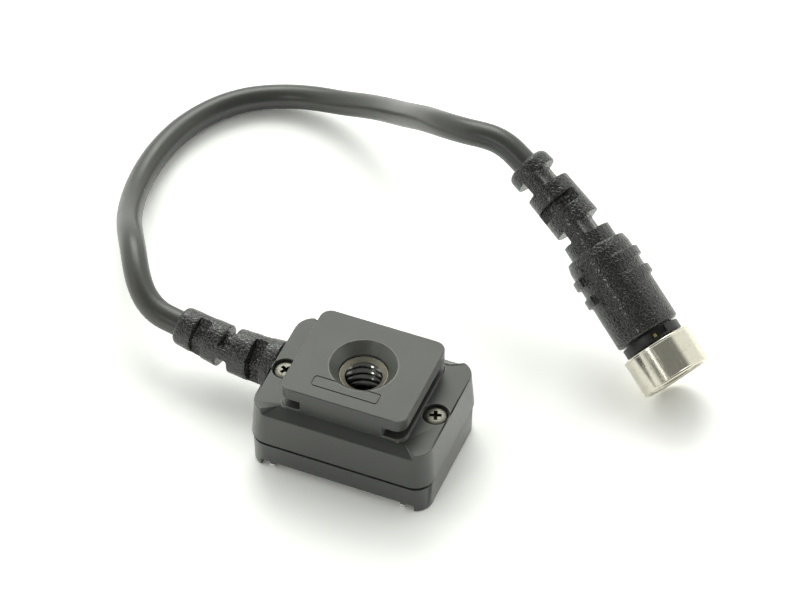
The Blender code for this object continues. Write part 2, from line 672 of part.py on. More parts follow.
def spine(steps, flex, angle, along):
    """Follow a bent relief's axis for a length from its root, and past its tail if need be.

    Each step in flex takes its share of the angle and the others stay straight. Returns how far
    the axis has swung out, how far it has come along its first direction, and its turn.
    """
    out = run = turn = 0.0
    for place, length in enumerate(steps):
        here = min(along, length)
        if place in flex:
            radius = length / (flex[place] * angle)
            swing = here / radius
            out += radius * (math.cos(turn) - math.cos(turn + swing))
            run += radius * (math.sin(turn + swing) - math.sin(turn))
            turn += swing
        else:
            out += here * math.sin(turn)
            run += here * math.cos(turn)
        along -= here
    return out + along * math.sin(turn), run + along * math.cos(turn), turn


def bend(part, start, steps, flex, angle, towards):
    """Bend a relief that starts at a height of start along its spine.

    towards is the unit direction in X and Y to which the far end swings.
    """
    side = Vector((towards[0], towards[1], 0.0))
    for corner in part.data.vertices:
        along = corner.co.z - start
        if along > 0:
            out, run, turn = spine(steps, flex, angle, along)
            lever = corner.co.dot(side)
            flat = corner.co - side * lever
            flat.z = start + run - lever * math.sin(turn)
            corner.co = flat + side * (out + lever * math.cos(turn))
    part.data.update()


def box_bend():
    """Start, steps, flexing steps, angle and direction of the box relief's bend."""
    angle = math.hypot(BOX_RELIEF_YAW, BOX_RELIEF_RISE)
    towards = (-BOX_RELIEF_YAW / angle, BOX_RELIEF_RISE / angle)
    return 0.0, BOX_RELIEF_STEPS, BOX_RELIEF_FLEX, angle, towards


def make_box_relief(frame, finish):
    """Relief at the case: neck and inner flange in the wall, then rings and bridges outside."""
    neck = -RELIEF_NECK_LENGTH
    profile = relief_profile(BOX_RELIEF_STEPS, BOX_RELIEF_ROOT, BOX_RELIEF_TAIL, 0.0)
    profile += [(RELIEF_NECK, 0.0), (RELIEF_NECK, neck), (RELIEF_FLANGE, neck),
                (RELIEF_FLANGE, neck - RELIEF_FLANGE_THICKNESS),
                (0.0, neck - RELIEF_FLANGE_THICKNESS)]
    relief = turned("box_strain_relief", profile, steps=32)
    cut(relief, *relief_cutters("box", BOX_RELIEF_STEPS, 0.0, BOX_RELIEF_ROLL, 0.0,
                                BOX_RELIEF_ROOT + REACH, BOX_RELIEF_BRIDGE))
    bake(relief)
    bend(relief, *box_bend())
    relief.parent = frame
    return dress(relief, finish)


# ---------------------------------------------------------------- lead

def relief_exit(frame, start, steps, flex, angle, towards, beyond):
    """World position past the tail of a bent relief, along the line in which it points."""
    out, run, _ = spine(steps, flex, angle, sum(steps) + beyond)
    place = Vector((towards[0] * out, towards[1] * out, start + run))
    return np.array(frame.matrix_world @ place)


def smooth_route(points, first_way, last_way, step):
    """Points about a step apart on the cubic spline through the route's own points, which
    starts and ends in the given directions."""
    knots = np.array(points)
    chords = np.linalg.norm(np.diff(knots, axis=0), axis=1)
    slopes = np.diff(knots, axis=0) / chords[:, None]
    at = np.concatenate([[0.0], np.cumsum(chords)])
    count = len(knots)
    system = np.zeros((count, count))
    turn = np.zeros((count, 3))
    system[0, :2] = (2 * chords[0], chords[0])
    turn[0] = 6 * (slopes[0] - first_way)
    system[-1, -2:] = (chords[-1], 2 * chords[-1])
    turn[-1] = 6 * (last_way - slopes[-1])
    for i in range(1, count - 1):
        system[i, i - 1:i + 2] = (chords[i - 1], 2 * (chords[i - 1] + chords[i]), chords[i])
        turn[i] = 6 * (slopes[i] - slopes[i - 1])
    bows = np.linalg.solve(system, turn)
    samples = []
    for place in np.linspace(0.0, at[-1], int(round(at[-1] / step)) + 1):
        i = min(int(np.searchsorted(at, place, side="right")) - 1, count - 2)
        left = (at[i + 1] - place) / chords[i]
        right = 1.0 - left
        bow = (left ** 3 - left) * bows[i] + (right ** 3 - right) * bows[i + 1]
        samples.append(left * knots[i] + right * knots[i + 1] + bow * chords[i] ** 2 / 6)
    return np.array(samples)


def make_lead(box_tail, plug_tail, finish):
    """The lead's free stretch: it leaves each relief straight, for a radius, then runs free."""
    first, first_free = (box_tail(GAP), box_tail(GAP + LEAD_RADIUS))
    last, last_free = (plug_tail(GAP), plug_tail(GAP + LEAD_RADIUS))
    middle = [np.array(place) * MM for place in LEAD_ROUTE]
    route = smooth_route([first_free, *middle, last_free], (first_free - first) / LEAD_RADIUS,
                         (last - last_free) / LEAD_RADIUS, LEAD_STEP)
    places = [first, *route, last]
    curve = bpy.data.curves.new("lead", "CURVE")
    curve.dimensions = "3D"
    curve.bevel_depth = LEAD_RADIUS
    curve.bevel_resolution = 2
    curve.use_fill_caps = True
    line = curve.splines.new("POLY")
    line.points.add(len(places) - 1)
    for point, place in zip(line.points, places):
        point.co = (*place, 1.0)
    lead = bpy.data.objects.new("lead", curve)
    PARTS.objects.link(lead)
    lead.data.materials.append(finish)
    return lead


# ---------------------------------------------------------------- plug

def rib_gaps(name, place):
    """Cutters that clear one grip rib away on the two open sides of the body."""
    low = BODY_END - place - GRIP_RIB_WIDTH - GAP / 10
    high = BODY_END - place + GAP / 10
    tool = rod(name, BODY_RADIUS + REACH, low, high)
    keep = rod(f"{name}_keep", BODY_RADIUS, low - REACH, high + REACH)
    cut(tool, keep)
    opened = block(f"{name}_open", GRIP_RIB_OPEN, 2 * BODY_RADIUS, low - REACH, high + REACH)
    opened.rotation_euler = (0.0, 0.0, -PLUG_ROLL)
    combine(tool, opened, "INTERSECT")
    return bake(tool)


def plug_bend():
    """Start, steps, flexing steps, angle and direction of the plug relief's bend."""
    angle = math.hypot(PLUG_RELIEF_YAW, PLUG_RELIEF_DROOP)
    towards = (PLUG_RELIEF_YAW / angle, -PLUG_RELIEF_DROOP / angle)
    return BODY_END, PLUG_RELIEF_STEPS, PLUG_RELIEF_FLEX, angle, towards


def make_boot(frame, finish):
    """Overmoulded plug body with two pairs of grip ribs, its cone and its drooping relief."""
    relief = relief_profile(PLUG_RELIEF_STEPS, PLUG_RELIEF_ROOT, PLUG_RELIEF_TAIL, BODY_END)
    rib = BODY_RADIUS + GRIP_RIB_HEIGHT
    profile = relief + [(BODY_CONE_TOP, BODY_END), (BODY_RADIUS, BODY_END - BODY_CONE)]
    for place in GRIP_RIB_PLACES:
        high = BODY_END - place
        low = high - GRIP_RIB_WIDTH
        profile += [(BODY_RADIUS, high), (rib, high), (rib, low), (BODY_RADIUS, low)]
    bore = COLLAR_SPIGOT + GAP
    deep = BODY_START + COLLAR_SPIGOT_LENGTH + GAP
    profile += [(BODY_RADIUS, BODY_START + 0.3 * MM), (BODY_RADIUS - 0.3 * MM, BODY_START),
                (bore, BODY_START), (bore, deep), (0.0, deep)]
    boot = turned("plug_boot", profile)
    for number, place in enumerate(GRIP_RIB_PLACES):
        cut(boot, rib_gaps(f"rib_gap_{number}", place))
    cut(boot, *relief_cutters("plug", PLUG_RELIEF_STEPS, BODY_END, PLUG_ROLL, math.pi / 2,
                              PLUG_RELIEF_ROOT + REACH, PLUG_RELIEF_BRIDGE))
    bake(boot)
    bend(boot, *plug_bend())
    boot.parent = frame
    return dress(boot, finish)


def make_collar(frame, finish):
    """Black collar between ring and body, with the clip's slot and a spigot into the body."""
    low = RING_LENGTH + GAP
    high = low + COLLAR_LENGTH
    top = high + COLLAR_SPIGOT_LENGTH
    profile = [(0.0, top), (COLLAR_SPIGOT, top), (COLLAR_SPIGOT, high), (COLLAR_RADIUS, high),
               (COLLAR_RADIUS, low), (0.0, low)]
    collar = turned("plug_collar", profile, parent=frame)
    left = CLIP_HALF_WIDTH + FINE_GAP
    slot = block("clip_slot", CLIP_SLOT / 2, CLIP_SLOT_DEPTH, low + GAP, high + REACH,
                 (left - CLIP_SLOT / 2, COLLAR_RADIUS), parent=frame)
    slot.rotation_euler = (0.0, 0.0, CLIP_TURN)
    cut(collar, slot)
    return dress(collar, finish)


def make_clip(frame, finish):
    """Brass tab at one end of the collar's slot, which keeps the ring on."""
    low = RING_LENGTH + 3 * GAP
    high = RING_LENGTH + GAP + COLLAR_LENGTH - FINE_GAP
    inner = COLLAR_RADIUS - CLIP_SLOT_DEPTH + FINE_GAP
    clip = block("retaining_clip", CLIP_HALF_WIDTH, CLIP_THICKNESS / 2, low, high,
                 (0.0, inner + CLIP_THICKNESS / 2), parent=frame)
    clip.rotation_euler = (0.0, 0.0, CLIP_TURN)
    return dress(clip, finish)


def make_ring(frame, finish):
    """Coupling ring: a plain turned sleeve with an inward lip at the cable side."""
    edge = 0.25 * MM
    lip = SHELL_RADIUS + GAP
    profile = [(lip, RING_LENGTH), (RING_RADIUS - edge, RING_LENGTH),
               (RING_RADIUS, RING_LENGTH - edge), (RING_RADIUS, edge), (RING_RADIUS - edge, 0.0),
               (RING_BORE + edge, 0.0), (RING_BORE, edge), (RING_BORE, RING_LENGTH - RING_LIP),
               (lip, RING_LENGTH - RING_LIP)]
    return dress(turned("coupling_ring", profile, steps=48, closed=True, parent=frame), finish)


def make_nose_shell(frame, finish):
    """Metal nose tube inside the ring, with the shoulder that holds the ring's lip."""
    inner = SHELL_RADIUS - SHELL_WALL
    shoulder_high = RING_LENGTH - RING_LIP - GAP
    shoulder_low = shoulder_high - SHELL_SHOULDER_WIDTH
    profile = [(inner, RING_LENGTH), (SHELL_RADIUS, RING_LENGTH), (SHELL_RADIUS, shoulder_high),
               (SHELL_SHOULDER, shoulder_high), (SHELL_SHOULDER, shoulder_low),
               (SHELL_RADIUS, shoulder_low), (SHELL_RADIUS, SHELL_SETBACK),
               (inner, SHELL_SETBACK)]
    return dress(turned("plug_nose_shell", profile, closed=True, parent=frame), finish)


def pin_places():
    """Centres of the plug's pins on their circle."""
    angles = [2 * math.pi * (i + 0.5) / PIN_COUNT for i in range(PIN_COUNT)]
    return [(PIN_CIRCLE * math.cos(a), PIN_CIRCLE * math.sin(a)) for a in angles]


def make_insulator(frame, finish):
    """Insulating disc in the nose tube, drilled for the pins."""
    radius = SHELL_RADIUS - SHELL_WALL - GAP
    disc = rod("pin_insulator", radius, SHELL_SETBACK + INSULATOR_DEPTH, RING_LENGTH,
               parent=frame)
    for number, centre in enumerate(pin_places(), 1):
        cut(disc, rod(f"pin_hole_{number}", PIN_RADIUS + FINE_GAP, 0.0, RING_LENGTH - 2 * GAP,
                      centre, steps=16, parent=frame))
    return dress(disc, finish)


def make_pin(number, centre, frame, finish):
    """Round-nosed contact pin."""
    low = SHELL_SETBACK + INSULATOR_DEPTH - PIN_REACH
    high = RING_LENGTH - 3 * GAP
    profile = [(0.0, high), (PIN_RADIUS, high), (PIN_RADIUS, low + PIN_RADIUS / 2),
               (PIN_RADIUS / 2, low), (0.0, low)]
    return dress(turned(f"contact_pin_{number}", profile, centre, 12, parent=frame), finish)


def axis_frame(name, origin, along, upward):
    """Empty at an axis: local Z along it, local Y the upward direction square to it."""
    z_axis = along.normalized()
    y_axis = (upward - z_axis * upward.dot(z_axis)).normalized()
    x_axis = y_axis.cross(z_axis)
    empty = bpy.data.objects.new(name, None)
    PARTS.objects.link(empty)
    empty.matrix_world = Matrix.Translation(origin) @ Matrix((x_axis, y_axis, z_axis)).transposed(
    ).to_4x4()
    return empty


def build():
    """Make every piece of the adapter."""
    case_black = material("case_black", BLACK_PLASTIC, 0.45)
    rubber = material("black_rubber", BLACK_RUBBER, 0.55)
    jacket = material("lead_jacket", BLACK_RUBBER, 0.38)
    inner_black = material("inner_black", BLACK_PLASTIC, 0.5)
    nickel = material("nickel_plate", NICKEL, 0.2, 1.0)
    steel = material("bright_steel", NICKEL, 0.3, 1.0)
    brass = material("brass", BRASS, 0.3, 1.0)
    board = material("board", BOARD_GREEN, 0.5)

    make_cover(case_black)
    make_base(case_black)
    for label, centre in screw_places():
        make_case_screw(f"case_screw_{label}", centre, steel)
    make_bush(steel)

    make_rail(steel)
    make_contact_block(inner_black)
    for label, radius, centre in contact_places():
        make_contact(label, radius, centre, brass)
    make_spring("shoe_spring_left", -1, steel)
    make_spring("shoe_spring_right", 1, steel)
    for label, centre in shoe_screw_places():
        make_shoe_screw(label, centre, steel)
    make_board(board)

    up = Vector((0.0, 0.0, 1.0))
    relief_root = Vector((-(SEAM_HALF_X + GAP), BOX_RELIEF_Y, BOX_RELIEF_Z))
    relief_axis = axis_frame("box_relief_axis", relief_root, Vector((-1.0, 0.0, 0.0)), up)
    make_box_relief(relief_axis, rubber)

    nose_to_tail = Vector((-math.cos(PLUG_TILT) * math.cos(PLUG_HEADING),
                           -math.cos(PLUG_TILT) * math.sin(PLUG_HEADING), math.sin(PLUG_TILT)))
    plug_axis = axis_frame("plug_axis", PLUG_TIP, nose_to_tail, up)
    bpy.context.view_layer.update()
    make_lead(lambda beyond: relief_exit(relief_axis, *box_bend(), beyond),
              lambda beyond: relief_exit(plug_axis, *plug_bend(), beyond), jacket)
    make_boot(plug_axis, rubber)
    make_collar(plug_axis, inner_black)
    make_clip(plug_axis, brass)
    make_ring(plug_axis, nickel)
    make_nose_shell(plug_axis, nickel)
    make_insulator(plug_axis, inner_black)
    for number, centre in enumerate(pin_places(), 1):
        make_pin(number, centre, plug_axis, brass)


build()
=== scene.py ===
"""Looks of the shoe adapter: a black plastic case with an accessory foot and tripod socket, a
3.8 mm lead between two moulded strain reliefs, and a plug with a nickel coupling ring."""
import logging
import math
from dataclasses import dataclass, field
from enum import Enum

import bmesh
import bpy
import numpy as np
from mathutils import Matrix, Vector


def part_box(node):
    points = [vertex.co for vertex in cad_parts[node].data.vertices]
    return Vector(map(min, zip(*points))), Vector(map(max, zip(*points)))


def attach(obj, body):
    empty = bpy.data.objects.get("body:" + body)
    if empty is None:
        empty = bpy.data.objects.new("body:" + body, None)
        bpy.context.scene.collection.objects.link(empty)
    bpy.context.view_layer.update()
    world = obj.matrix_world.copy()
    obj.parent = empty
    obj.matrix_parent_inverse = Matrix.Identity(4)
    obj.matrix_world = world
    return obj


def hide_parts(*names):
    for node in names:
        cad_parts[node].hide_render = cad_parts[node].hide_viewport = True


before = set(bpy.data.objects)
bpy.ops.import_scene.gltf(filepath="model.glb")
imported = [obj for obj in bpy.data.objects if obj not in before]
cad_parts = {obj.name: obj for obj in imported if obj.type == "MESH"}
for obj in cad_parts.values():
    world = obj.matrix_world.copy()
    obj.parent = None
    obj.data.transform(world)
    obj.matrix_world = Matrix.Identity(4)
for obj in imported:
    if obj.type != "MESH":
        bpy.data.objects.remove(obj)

logging.basicConfig(level=logging.INFO, format="%(message)s")
LOG = logging.getLogger("adapter")

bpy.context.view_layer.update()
MM = 0.001
MERGE_REACH = 0.0005 * MM

HAZE_SHOWN, HAZE_LIFT, HAZE_FLOOR = 4.0, 1.35, 0.004
DUST_COLOUR, DUST_COVER, DUST_ROUGHNESS = (0.55, 0.55, 0.52), 0.6, 0.3
TARNISH_ROUGHNESS = 0.3
BLOOM_ROUGHNESS = 0.45

Pair = tuple[float, float]
Triple = tuple[float, float, float]
Profile = list[Pair]
Shape = bmesh.types.BMesh
Piece = bpy.types.Object
Socket = bpy.types.NodeSocket


class Body(Enum):
    """The frame's bodies that the pieces ride on."""

    ADAPTER = "adapter"
    RING = "ring"


class Slot(Enum):
    """The record's material slots."""

    CASE = "case_black"
    RUBBER = "black_rubber"
    JACKET = "lead_jacket"
    INNER = "inner_black"
    NICKEL = "nickel"
    STEEL = "bright_steel"
    BRASS = "brass"
    BOARD = "board"


# ---- shader tools


class Nodes:
    """A node tree with short calls to place nodes and to feed them."""

    def __init__(self, tree: bpy.types.NodeTree) -> None:
        """Keep the tree that is written in."""
        self.tree = tree

    def fill(self, node: bpy.types.Node, inputs: dict[str | int, object]) -> None:
        """Link or set a node's inputs.

        Args:
            node: The node.
            inputs: Outputs, numbers, colours or vectors by the input's name or place.
        """
        for label, value in inputs.items():
            if isinstance(value, Socket):
                self.tree.links.new(value, node.inputs[label])
            else:
                node.inputs[label].default_value = value

    def add(self, kind: str, inputs: dict[str | int, object] | None = None,
            **settings: object) -> bpy.types.Node:
        """Place a node.

        Args:
            kind: The node's type, without its ShaderNode prefix.
            inputs: What its inputs get, by name or place.
            settings: The node's own settings by name.

        Returns:
            The new node.
        """
        node = self.tree.nodes.new(kind if kind.startswith("Node") else "ShaderNode" + kind)
        for name, value in settings.items():
            setattr(node, name, value)
        self.fill(node, inputs or {})
        return node

    def math(self, operation: str, first: object, second: object, clamp: bool = False) -> Socket:
        """A Math node's result from two numbers or outputs, kept from 0 to 1 by clamp."""
        return self.add("Math", {0: first, 1: second}, operation=operation,
                        use_clamp=clamp).outputs[0]

    def vector(self, operation: str, first: Socket, second: object) -> Socket:
        """A Vector Math node's vector from an output and an output, vector or number."""
        place = "Scale" if operation == "SCALE" else 1
        return self.add("VectorMath", {0: first, place: second}, operation=operation).outputs[0]

    def total(self, *terms: tuple[Socket, float]) -> Socket:
        """Add up weighted outputs.

        Args:
            terms: Each output with its weight.

        Returns:
            The sum.
        """
        result, *others = [self.math("MULTIPLY", value, weight) for value, weight in terms]
        for other in others:
            result = self.math("ADD", result, other)
        return result

    def ramp(self, value: Socket, low: float, high: float, out_low: float = 0.0,
             out_high: float = 1.0) -> Socket:
        """An output mapped smoothly, so that low gives out_low and high gives out_high."""
        return self.add("MapRange", {"Value": value, "From Min": low, "From Max": high,
                                     "To Min": out_low, "To Max": out_high},
                        interpolation_type="SMOOTHSTEP").outputs["Result"]

    def noise(self, where: Socket, scale: object, detail: float, roughness: float = 0.5,
              output: str = "Fac") -> Socket:
        """An output of a Noise Texture at a place; its scale is a number or an output."""
        return self.add("TexNoise", {"Vector": where, "Scale": scale, "Detail": detail,
                                     "Roughness": roughness}).outputs[output]

    def blend(self, share: Socket, first: object, second: Triple) -> Socket:
        """A colour or colour output of which a share gives way to a second colour."""
        under = first if isinstance(first, Socket) else (*first, 1.0)
        return self.add("Mix", {"Factor": share, "A": under, "B": (*second, 1.0)},
                        data_type="RGBA").outputs["Result"]

    def bumped(self, height: Socket, depth: float) -> Socket:
        """The normal of a relief of a depth in metres, from its height from 0 to 1."""
        return self.add("Bump", {"Height": height, "Distance": depth}).outputs["Normal"]

    def shared(self, key: str, where: Socket, **values: float) -> bpy.types.Node:
        """Place one of GROUPS by its key, with the place that it reads and its own values."""
        return self.add("Group", {"Vector": where, **values}, node_tree=GROUPS[key])

    def given(self, label: str) -> Socket:
        """What a group gets at one of its inputs."""
        return self.tree.nodes["in"].outputs[label]

    def give(self, **values: Socket) -> None:
        """Put out a group's results by name."""
        self.fill(self.tree.nodes["out"], values)


def new_group(name: str, inputs: dict[str, float], outputs: list[str]) -> Nodes:
    """Make a shader node group with a Vector input.

    Args:
        name: The group's name.
        inputs: Its number inputs with their defaults.
        outputs: Its number outputs.

    Returns:
        The group's nodes; its ends are the nodes called "in" and "out".
    """
    tree = bpy.data.node_groups.new(name, "ShaderNodeTree")
    tree.interface.new_socket("Vector", in_out="INPUT", socket_type="NodeSocketVector")
    for label, value in inputs.items():
        socket = tree.interface.new_socket(label, in_out="INPUT", socket_type="NodeSocketFloat")
        socket.default_value = value
    for label in outputs:
        tree.interface.new_socket(label, in_out="OUTPUT", socket_type="NodeSocketFloat")
    nodes = Nodes(tree)
    nodes.add("NodeGroupInput", name="in")
    nodes.add("NodeGroupOutput", name="out")
    return nodes


def leather_grain_group() -> bpy.types.NodeTree:
    """Moulded leather grain: pebbles parted by wrinkles.

    Returns:
        The group, with a Height from 0 to about 1.
    """
    nodes = new_group("leather_grain", {"Scale": 1.0, "Warp": 0.45}, ["Height"])
    where, scale = nodes.given("Vector"), nodes.given("Scale")
    way = nodes.vector("SUBTRACT", nodes.noise(where, scale, 2.0, output="Color"),
                       (0.5, 0.5, 0.5))
    reach = nodes.math("MULTIPLY", nodes.math("DIVIDE", nodes.given("Warp"), scale), 2.0)
    warped = nodes.vector("ADD", where, nodes.vector("SCALE", way, reach))
    cells = nodes.add("TexVoronoi", {"Vector": warped, "Scale": scale},
                      feature="DISTANCE_TO_EDGE")
    pebble = nodes.ramp(cells.outputs["Distance"], 0.0, 0.25)
    swell = nodes.noise(where, nodes.math("MULTIPLY", scale, 0.55), 2.0)
    fine = nodes.noise(where, nodes.math("MULTIPLY", scale, 2.6), 3.0)
    nodes.give(Height=nodes.total((pebble, 0.62), (fine, 0.12), (swell, 0.6)))
    return nodes.tree


def matt_texture_group() -> bpy.types.NodeTree:
    """Fine matt mould texture: shallow random pits.

    Returns:
        The group, with a Height from 0 to 1.
    """
    nodes = new_group("matt_texture", {"Scale": 1.0}, ["Height"])
    pits = nodes.noise(nodes.given("Vector"), nodes.given("Scale"), 3.0, 0.6)
    nodes.give(Height=nodes.ramp(pits, 0.3, 0.7))
    return nodes.tree


def haze_group() -> bpy.types.NodeTree:
    """Handling haze: soft patches and faint wipe marks.

    Returns:
        The group, with a Mask from 0 to 1.
    """
    nodes = new_group("handling_haze", {"Scale": 1.0, "Stretch": 4.0}, ["Mask"])
    where, scale = nodes.given("Vector"), nodes.given("Scale")
    drawn = nodes.add("CombineXYZ", {"X": nodes.given("Stretch"), "Y": 1.0, "Z": 1.0})
    squeezed = nodes.vector("MULTIPLY", where, drawn.outputs[0])
    soft = nodes.noise(where, scale, 4.0)
    wipes = nodes.noise(squeezed, nodes.math("MULTIPLY", scale, 2.5), 5.0)
    nodes.give(Mask=nodes.ramp(nodes.total((soft, 0.6), (wipes, 0.4)), 0.38, 0.66))
    return nodes.tree


def dust_group() -> bpy.types.NodeTree:
    """Sparse dust specks.

    Returns:
        The group, with a Mask that is 1 on a speck and 0 elsewhere.
    """
    nodes = new_group("dust_specks", {"Scale": 1.0, "Share": 0.05, "Size": 0.12}, ["Mask"])
    cells = nodes.add("TexVoronoi", {"Vector": nodes.given("Vector"),
                                     "Scale": nodes.given("Scale")}, feature="F1")
    split = nodes.add("SeparateColor", {0: cells.outputs["Color"]})
    chosen = nodes.math("LESS_THAN", split.outputs[0], nodes.given("Share"))
    size = nodes.math("MULTIPLY", split.outputs[1], nodes.given("Size"))
    near = nodes.math("LESS_THAN", cells.outputs["Distance"], size)
    nodes.give(Mask=nodes.math("MULTIPLY", chosen, near))
    return nodes.tree


def turning_group() -> bpy.types.NodeTree:
    """Turning marks on metal: fine rings along the local Z axis, pits and lengthwise scuffs.

    Returns:
        The group, with a Height, a Tarnish and a Scuff, each from 0 to 1.
    """
    nodes = new_group("turning_marks", {"Scale": 1.0}, ["Height", "Tarnish", "Scuff"])
    where, scale = nodes.given("Vector"), nodes.given("Scale")
    rings = nodes.noise(nodes.vector("MULTIPLY", where, (0.0, 0.0, 1.0)),
                        nodes.math("MULTIPLY", scale, 5.0), 4.0)
    pits = nodes.noise(where, scale, 6.0, 0.65)
    scuffs = nodes.noise(nodes.vector("MULTIPLY", where, (1.0, 1.0, 0.06)),
                         nodes.math("MULTIPLY", scale, 2.2), 5.0, 0.6)
    nodes.give(Height=nodes.total((rings, 0.6), (pits, 0.4)),
               Tarnish=nodes.ramp(pits, 0.52, 0.72), Scuff=nodes.ramp(scuffs, 0.50, 0.68))
    return nodes.tree


GROUPS = {
    "grain": leather_grain_group(),
    "matt": matt_texture_group(),
    "haze": haze_group(),
    "dust": dust_group(),
    "turning": turning_group(),
}


@dataclass(frozen=True)
class Finish:
    """A finish, whose material is made at its first use."""

    name: str
    colour: Triple

    def write(self, nodes: Nodes, shader: bpy.types.Node) -> None:
        """Write the material's nodes, which each kind of finish does in its own way."""
        raise NotImplementedError

    def material(self) -> bpy.types.Material:
        """Make or find the material.

        Returns:
            The material, on Object coordinates.
        """
        if self.name not in bpy.data.materials:
            made = bpy.data.materials.new(self.name)
            made.use_nodes = True
            self.write(Nodes(made.node_tree), made.node_tree.nodes["Principled BSDF"])
        return bpy.data.materials[self.name]


@dataclass(frozen=True)
class Plastic(Finish):
    """A moulded plastic or rubber: a texture group as its relief, and haze and dust over it."""

    roughness: float
    texture: str = "matt"
    pitch: float = 0.15 * MM
    relief: float = 0.01 * MM
    haze: float = 0.10
    haze_pitch: float = 6.0 * MM
    dust: float = 0.03
    dust_pitch: float = 1.2 * MM
    specular: float = 0.5
    bloom: float = 0.0

    def write(self, nodes: Nodes, shader: bpy.types.Node) -> None:
        """Write the plastic's nodes.

        Args:
            nodes: The material's nodes.
            shader: Its shader.
        """
        where = nodes.add("TexCoord").outputs["Object"]
        relief = nodes.shared(self.texture, where, Scale=1.0 / self.pitch).outputs["Height"]
        haze = nodes.shared("haze", where, Scale=1.0 / self.haze_pitch).outputs["Mask"]
        dust = nodes.shared("dust", where, Scale=1.0 / self.dust_pitch,
                            Share=self.dust).outputs["Mask"]
        hazed = tuple(value * HAZE_LIFT + HAZE_FLOOR for value in self.colour)
        colour = nodes.blend(nodes.math("MULTIPLY", haze, self.haze * HAZE_SHOWN, clamp=True),
                             self.colour, hazed)
        rough = nodes.total((haze, self.haze), (dust, DUST_ROUGHNESS))
        nodes.fill(shader, {
            "Base Color": nodes.blend(nodes.math("MULTIPLY", dust, DUST_COVER), colour,
                                      DUST_COLOUR),
            "Roughness": nodes.math("ADD", rough, self.roughness, clamp=True),
            "Specular IOR Level": self.specular,
            "Sheen Weight": self.bloom,
            "Sheen Roughness": BLOOM_ROUGHNESS,
            "Normal": nodes.bumped(relief, self.relief),
        })


@dataclass(frozen=True)
class Metal(Finish):
    """A metal with turning marks, scuffs and a little tarnish.

    Its marks run round the local Z of axis, or round the world's Z where that is None.
    """

    tarnished: Triple
    roughness: float
    pitch: float = 0.6 * MM
    relief: float = 0.002 * MM
    tarnish: float = 0.5
    scuff: float = 0.2
    axis: Matrix | None = None

    def write(self, nodes: Nodes, shader: bpy.types.Node) -> None:
        """Write the metal's nodes.

        Args:
            nodes: The material's nodes.
            shader: Its shader.
        """
        where = nodes.add("TexCoord").outputs["Object"]
        if self.axis is not None:
            where = nodes.add("Mapping", {"Vector": where, "Location": self.axis.to_translation(),
                                          "Rotation": self.axis.to_euler()},
                              vector_type="TEXTURE").outputs["Vector"]
        marks = nodes.shared("turning", where, Scale=1.0 / self.pitch).outputs
        tarnish = nodes.math("MULTIPLY", marks["Tarnish"], self.tarnish)
        rough = nodes.total((tarnish, TARNISH_ROUGHNESS), (marks["Scuff"], self.scuff))
        nodes.fill(shader, {
            "Metallic": 1.0,
            "Base Color": nodes.blend(tarnish, self.colour, self.tarnished),
            "Roughness": nodes.math("ADD", rough, self.roughness),
            "Normal": nodes.bumped(marks["Height"], self.relief),
        })


# ---- mesh tools


def copy_node(node: str, dissolve: bool = True) -> Shape:
    """Take a merged copy of a CAD node's mesh.

    Args:
        node: The CAD node's name.
        dissolve: Whether flat regions become single faces.

    Returns:
        The copy.
    """
    shape = bmesh.new()
    shape.from_mesh(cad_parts[node].data)
    bmesh.ops.remove_doubles(shape, verts=shape.verts, dist=MERGE_REACH)
    if dissolve:
        bmesh.ops.dissolve_limit(shape, angle_limit=math.radians(0.6), verts=shape.verts,
                                 edges=shape.edges, delimit={"NORMAL"})
    return shape


def bevel(shape: Shape, geom: list, width: float, segments: int, affect: str = "EDGES") -> None:
    """Round some edges, or corners where affect is VERTICES, by a width in mm."""
    bmesh.ops.bevel(shape, geom=geom, offset=width * MM, offset_type="OFFSET", affect=affect,
                    segments=segments, profile=0.5, material=-1, clamp_overlap=False)


def soften(shape: Shape, width: float, angle: float) -> None:
    """Round the edges that are sharper than an angle in degrees, by a width in mm."""
    limit = math.radians(angle)
    bevel(shape, [e for e in shape.edges
                  if len(e.link_faces) == 2 and e.calc_face_angle(0.0) > limit], width, 2)


def spun(profile: Profile, steps: int, closed: bool = False) -> Shape:
    """Spin a profile about Z.

    Args:
        profile: Points (radius, height) in mm; an open profile starts and ends on the axis.
        steps: Steps of the full turn.
        closed: Whether the profile closes on itself, as a ring's does.

    Returns:
        The closed shape, its faces pointing out.
    """
    shape = bmesh.new()
    points = [shape.verts.new((radius * MM, 0.0, height * MM)) for radius, height in profile]
    pairs = list(zip(points, points[1:]))
    if closed:
        pairs.append((points[-1], points[0]))
    edges = [shape.edges.new(pair) for pair in pairs]
    bmesh.ops.spin(shape, geom=points + edges, cent=(0, 0, 0), axis=(0, 0, 1),
                   angle=2 * math.pi, steps=steps, use_merge=True)
    bmesh.ops.remove_doubles(shape, verts=shape.verts, dist=MERGE_REACH)
    bmesh.ops.recalc_face_normals(shape, faces=shape.faces)
    return shape


def rounded(profile: Profile, corners: dict[int, float], count: int = 3) -> Profile:
    """Round some corners of a profile.

    Args:
        profile: Points (radius, height) in mm.
        corners: The rounding in mm of each rounded point by its place.
        count: Steps of each rounding.

    Returns:
        The profile with its roundings.
    """
    result = []
    for place, point in enumerate(profile):
        if place not in corners:
            result.append(point)
            continue
        here = Vector(point)
        before = (Vector(profile[place - 1]) - here).normalized() * corners[place]
        after = (Vector(profile[(place + 1) % len(profile)]) - here).normalized() * corners[place]
        for step in range(count + 1):
            t = step / count
            spot = here + before * (1 - t) ** 2 + after * t ** 2
            result.append((spot.x, spot.y))
    return result


def turn_about_z(shape: Shape, degrees: float) -> None:
    """Turn a whole shape about the Z axis."""
    bmesh.ops.rotate(shape, verts=shape.verts, cent=(0, 0, 0),
                     matrix=Matrix.Rotation(math.radians(degrees), 3, "Z"))


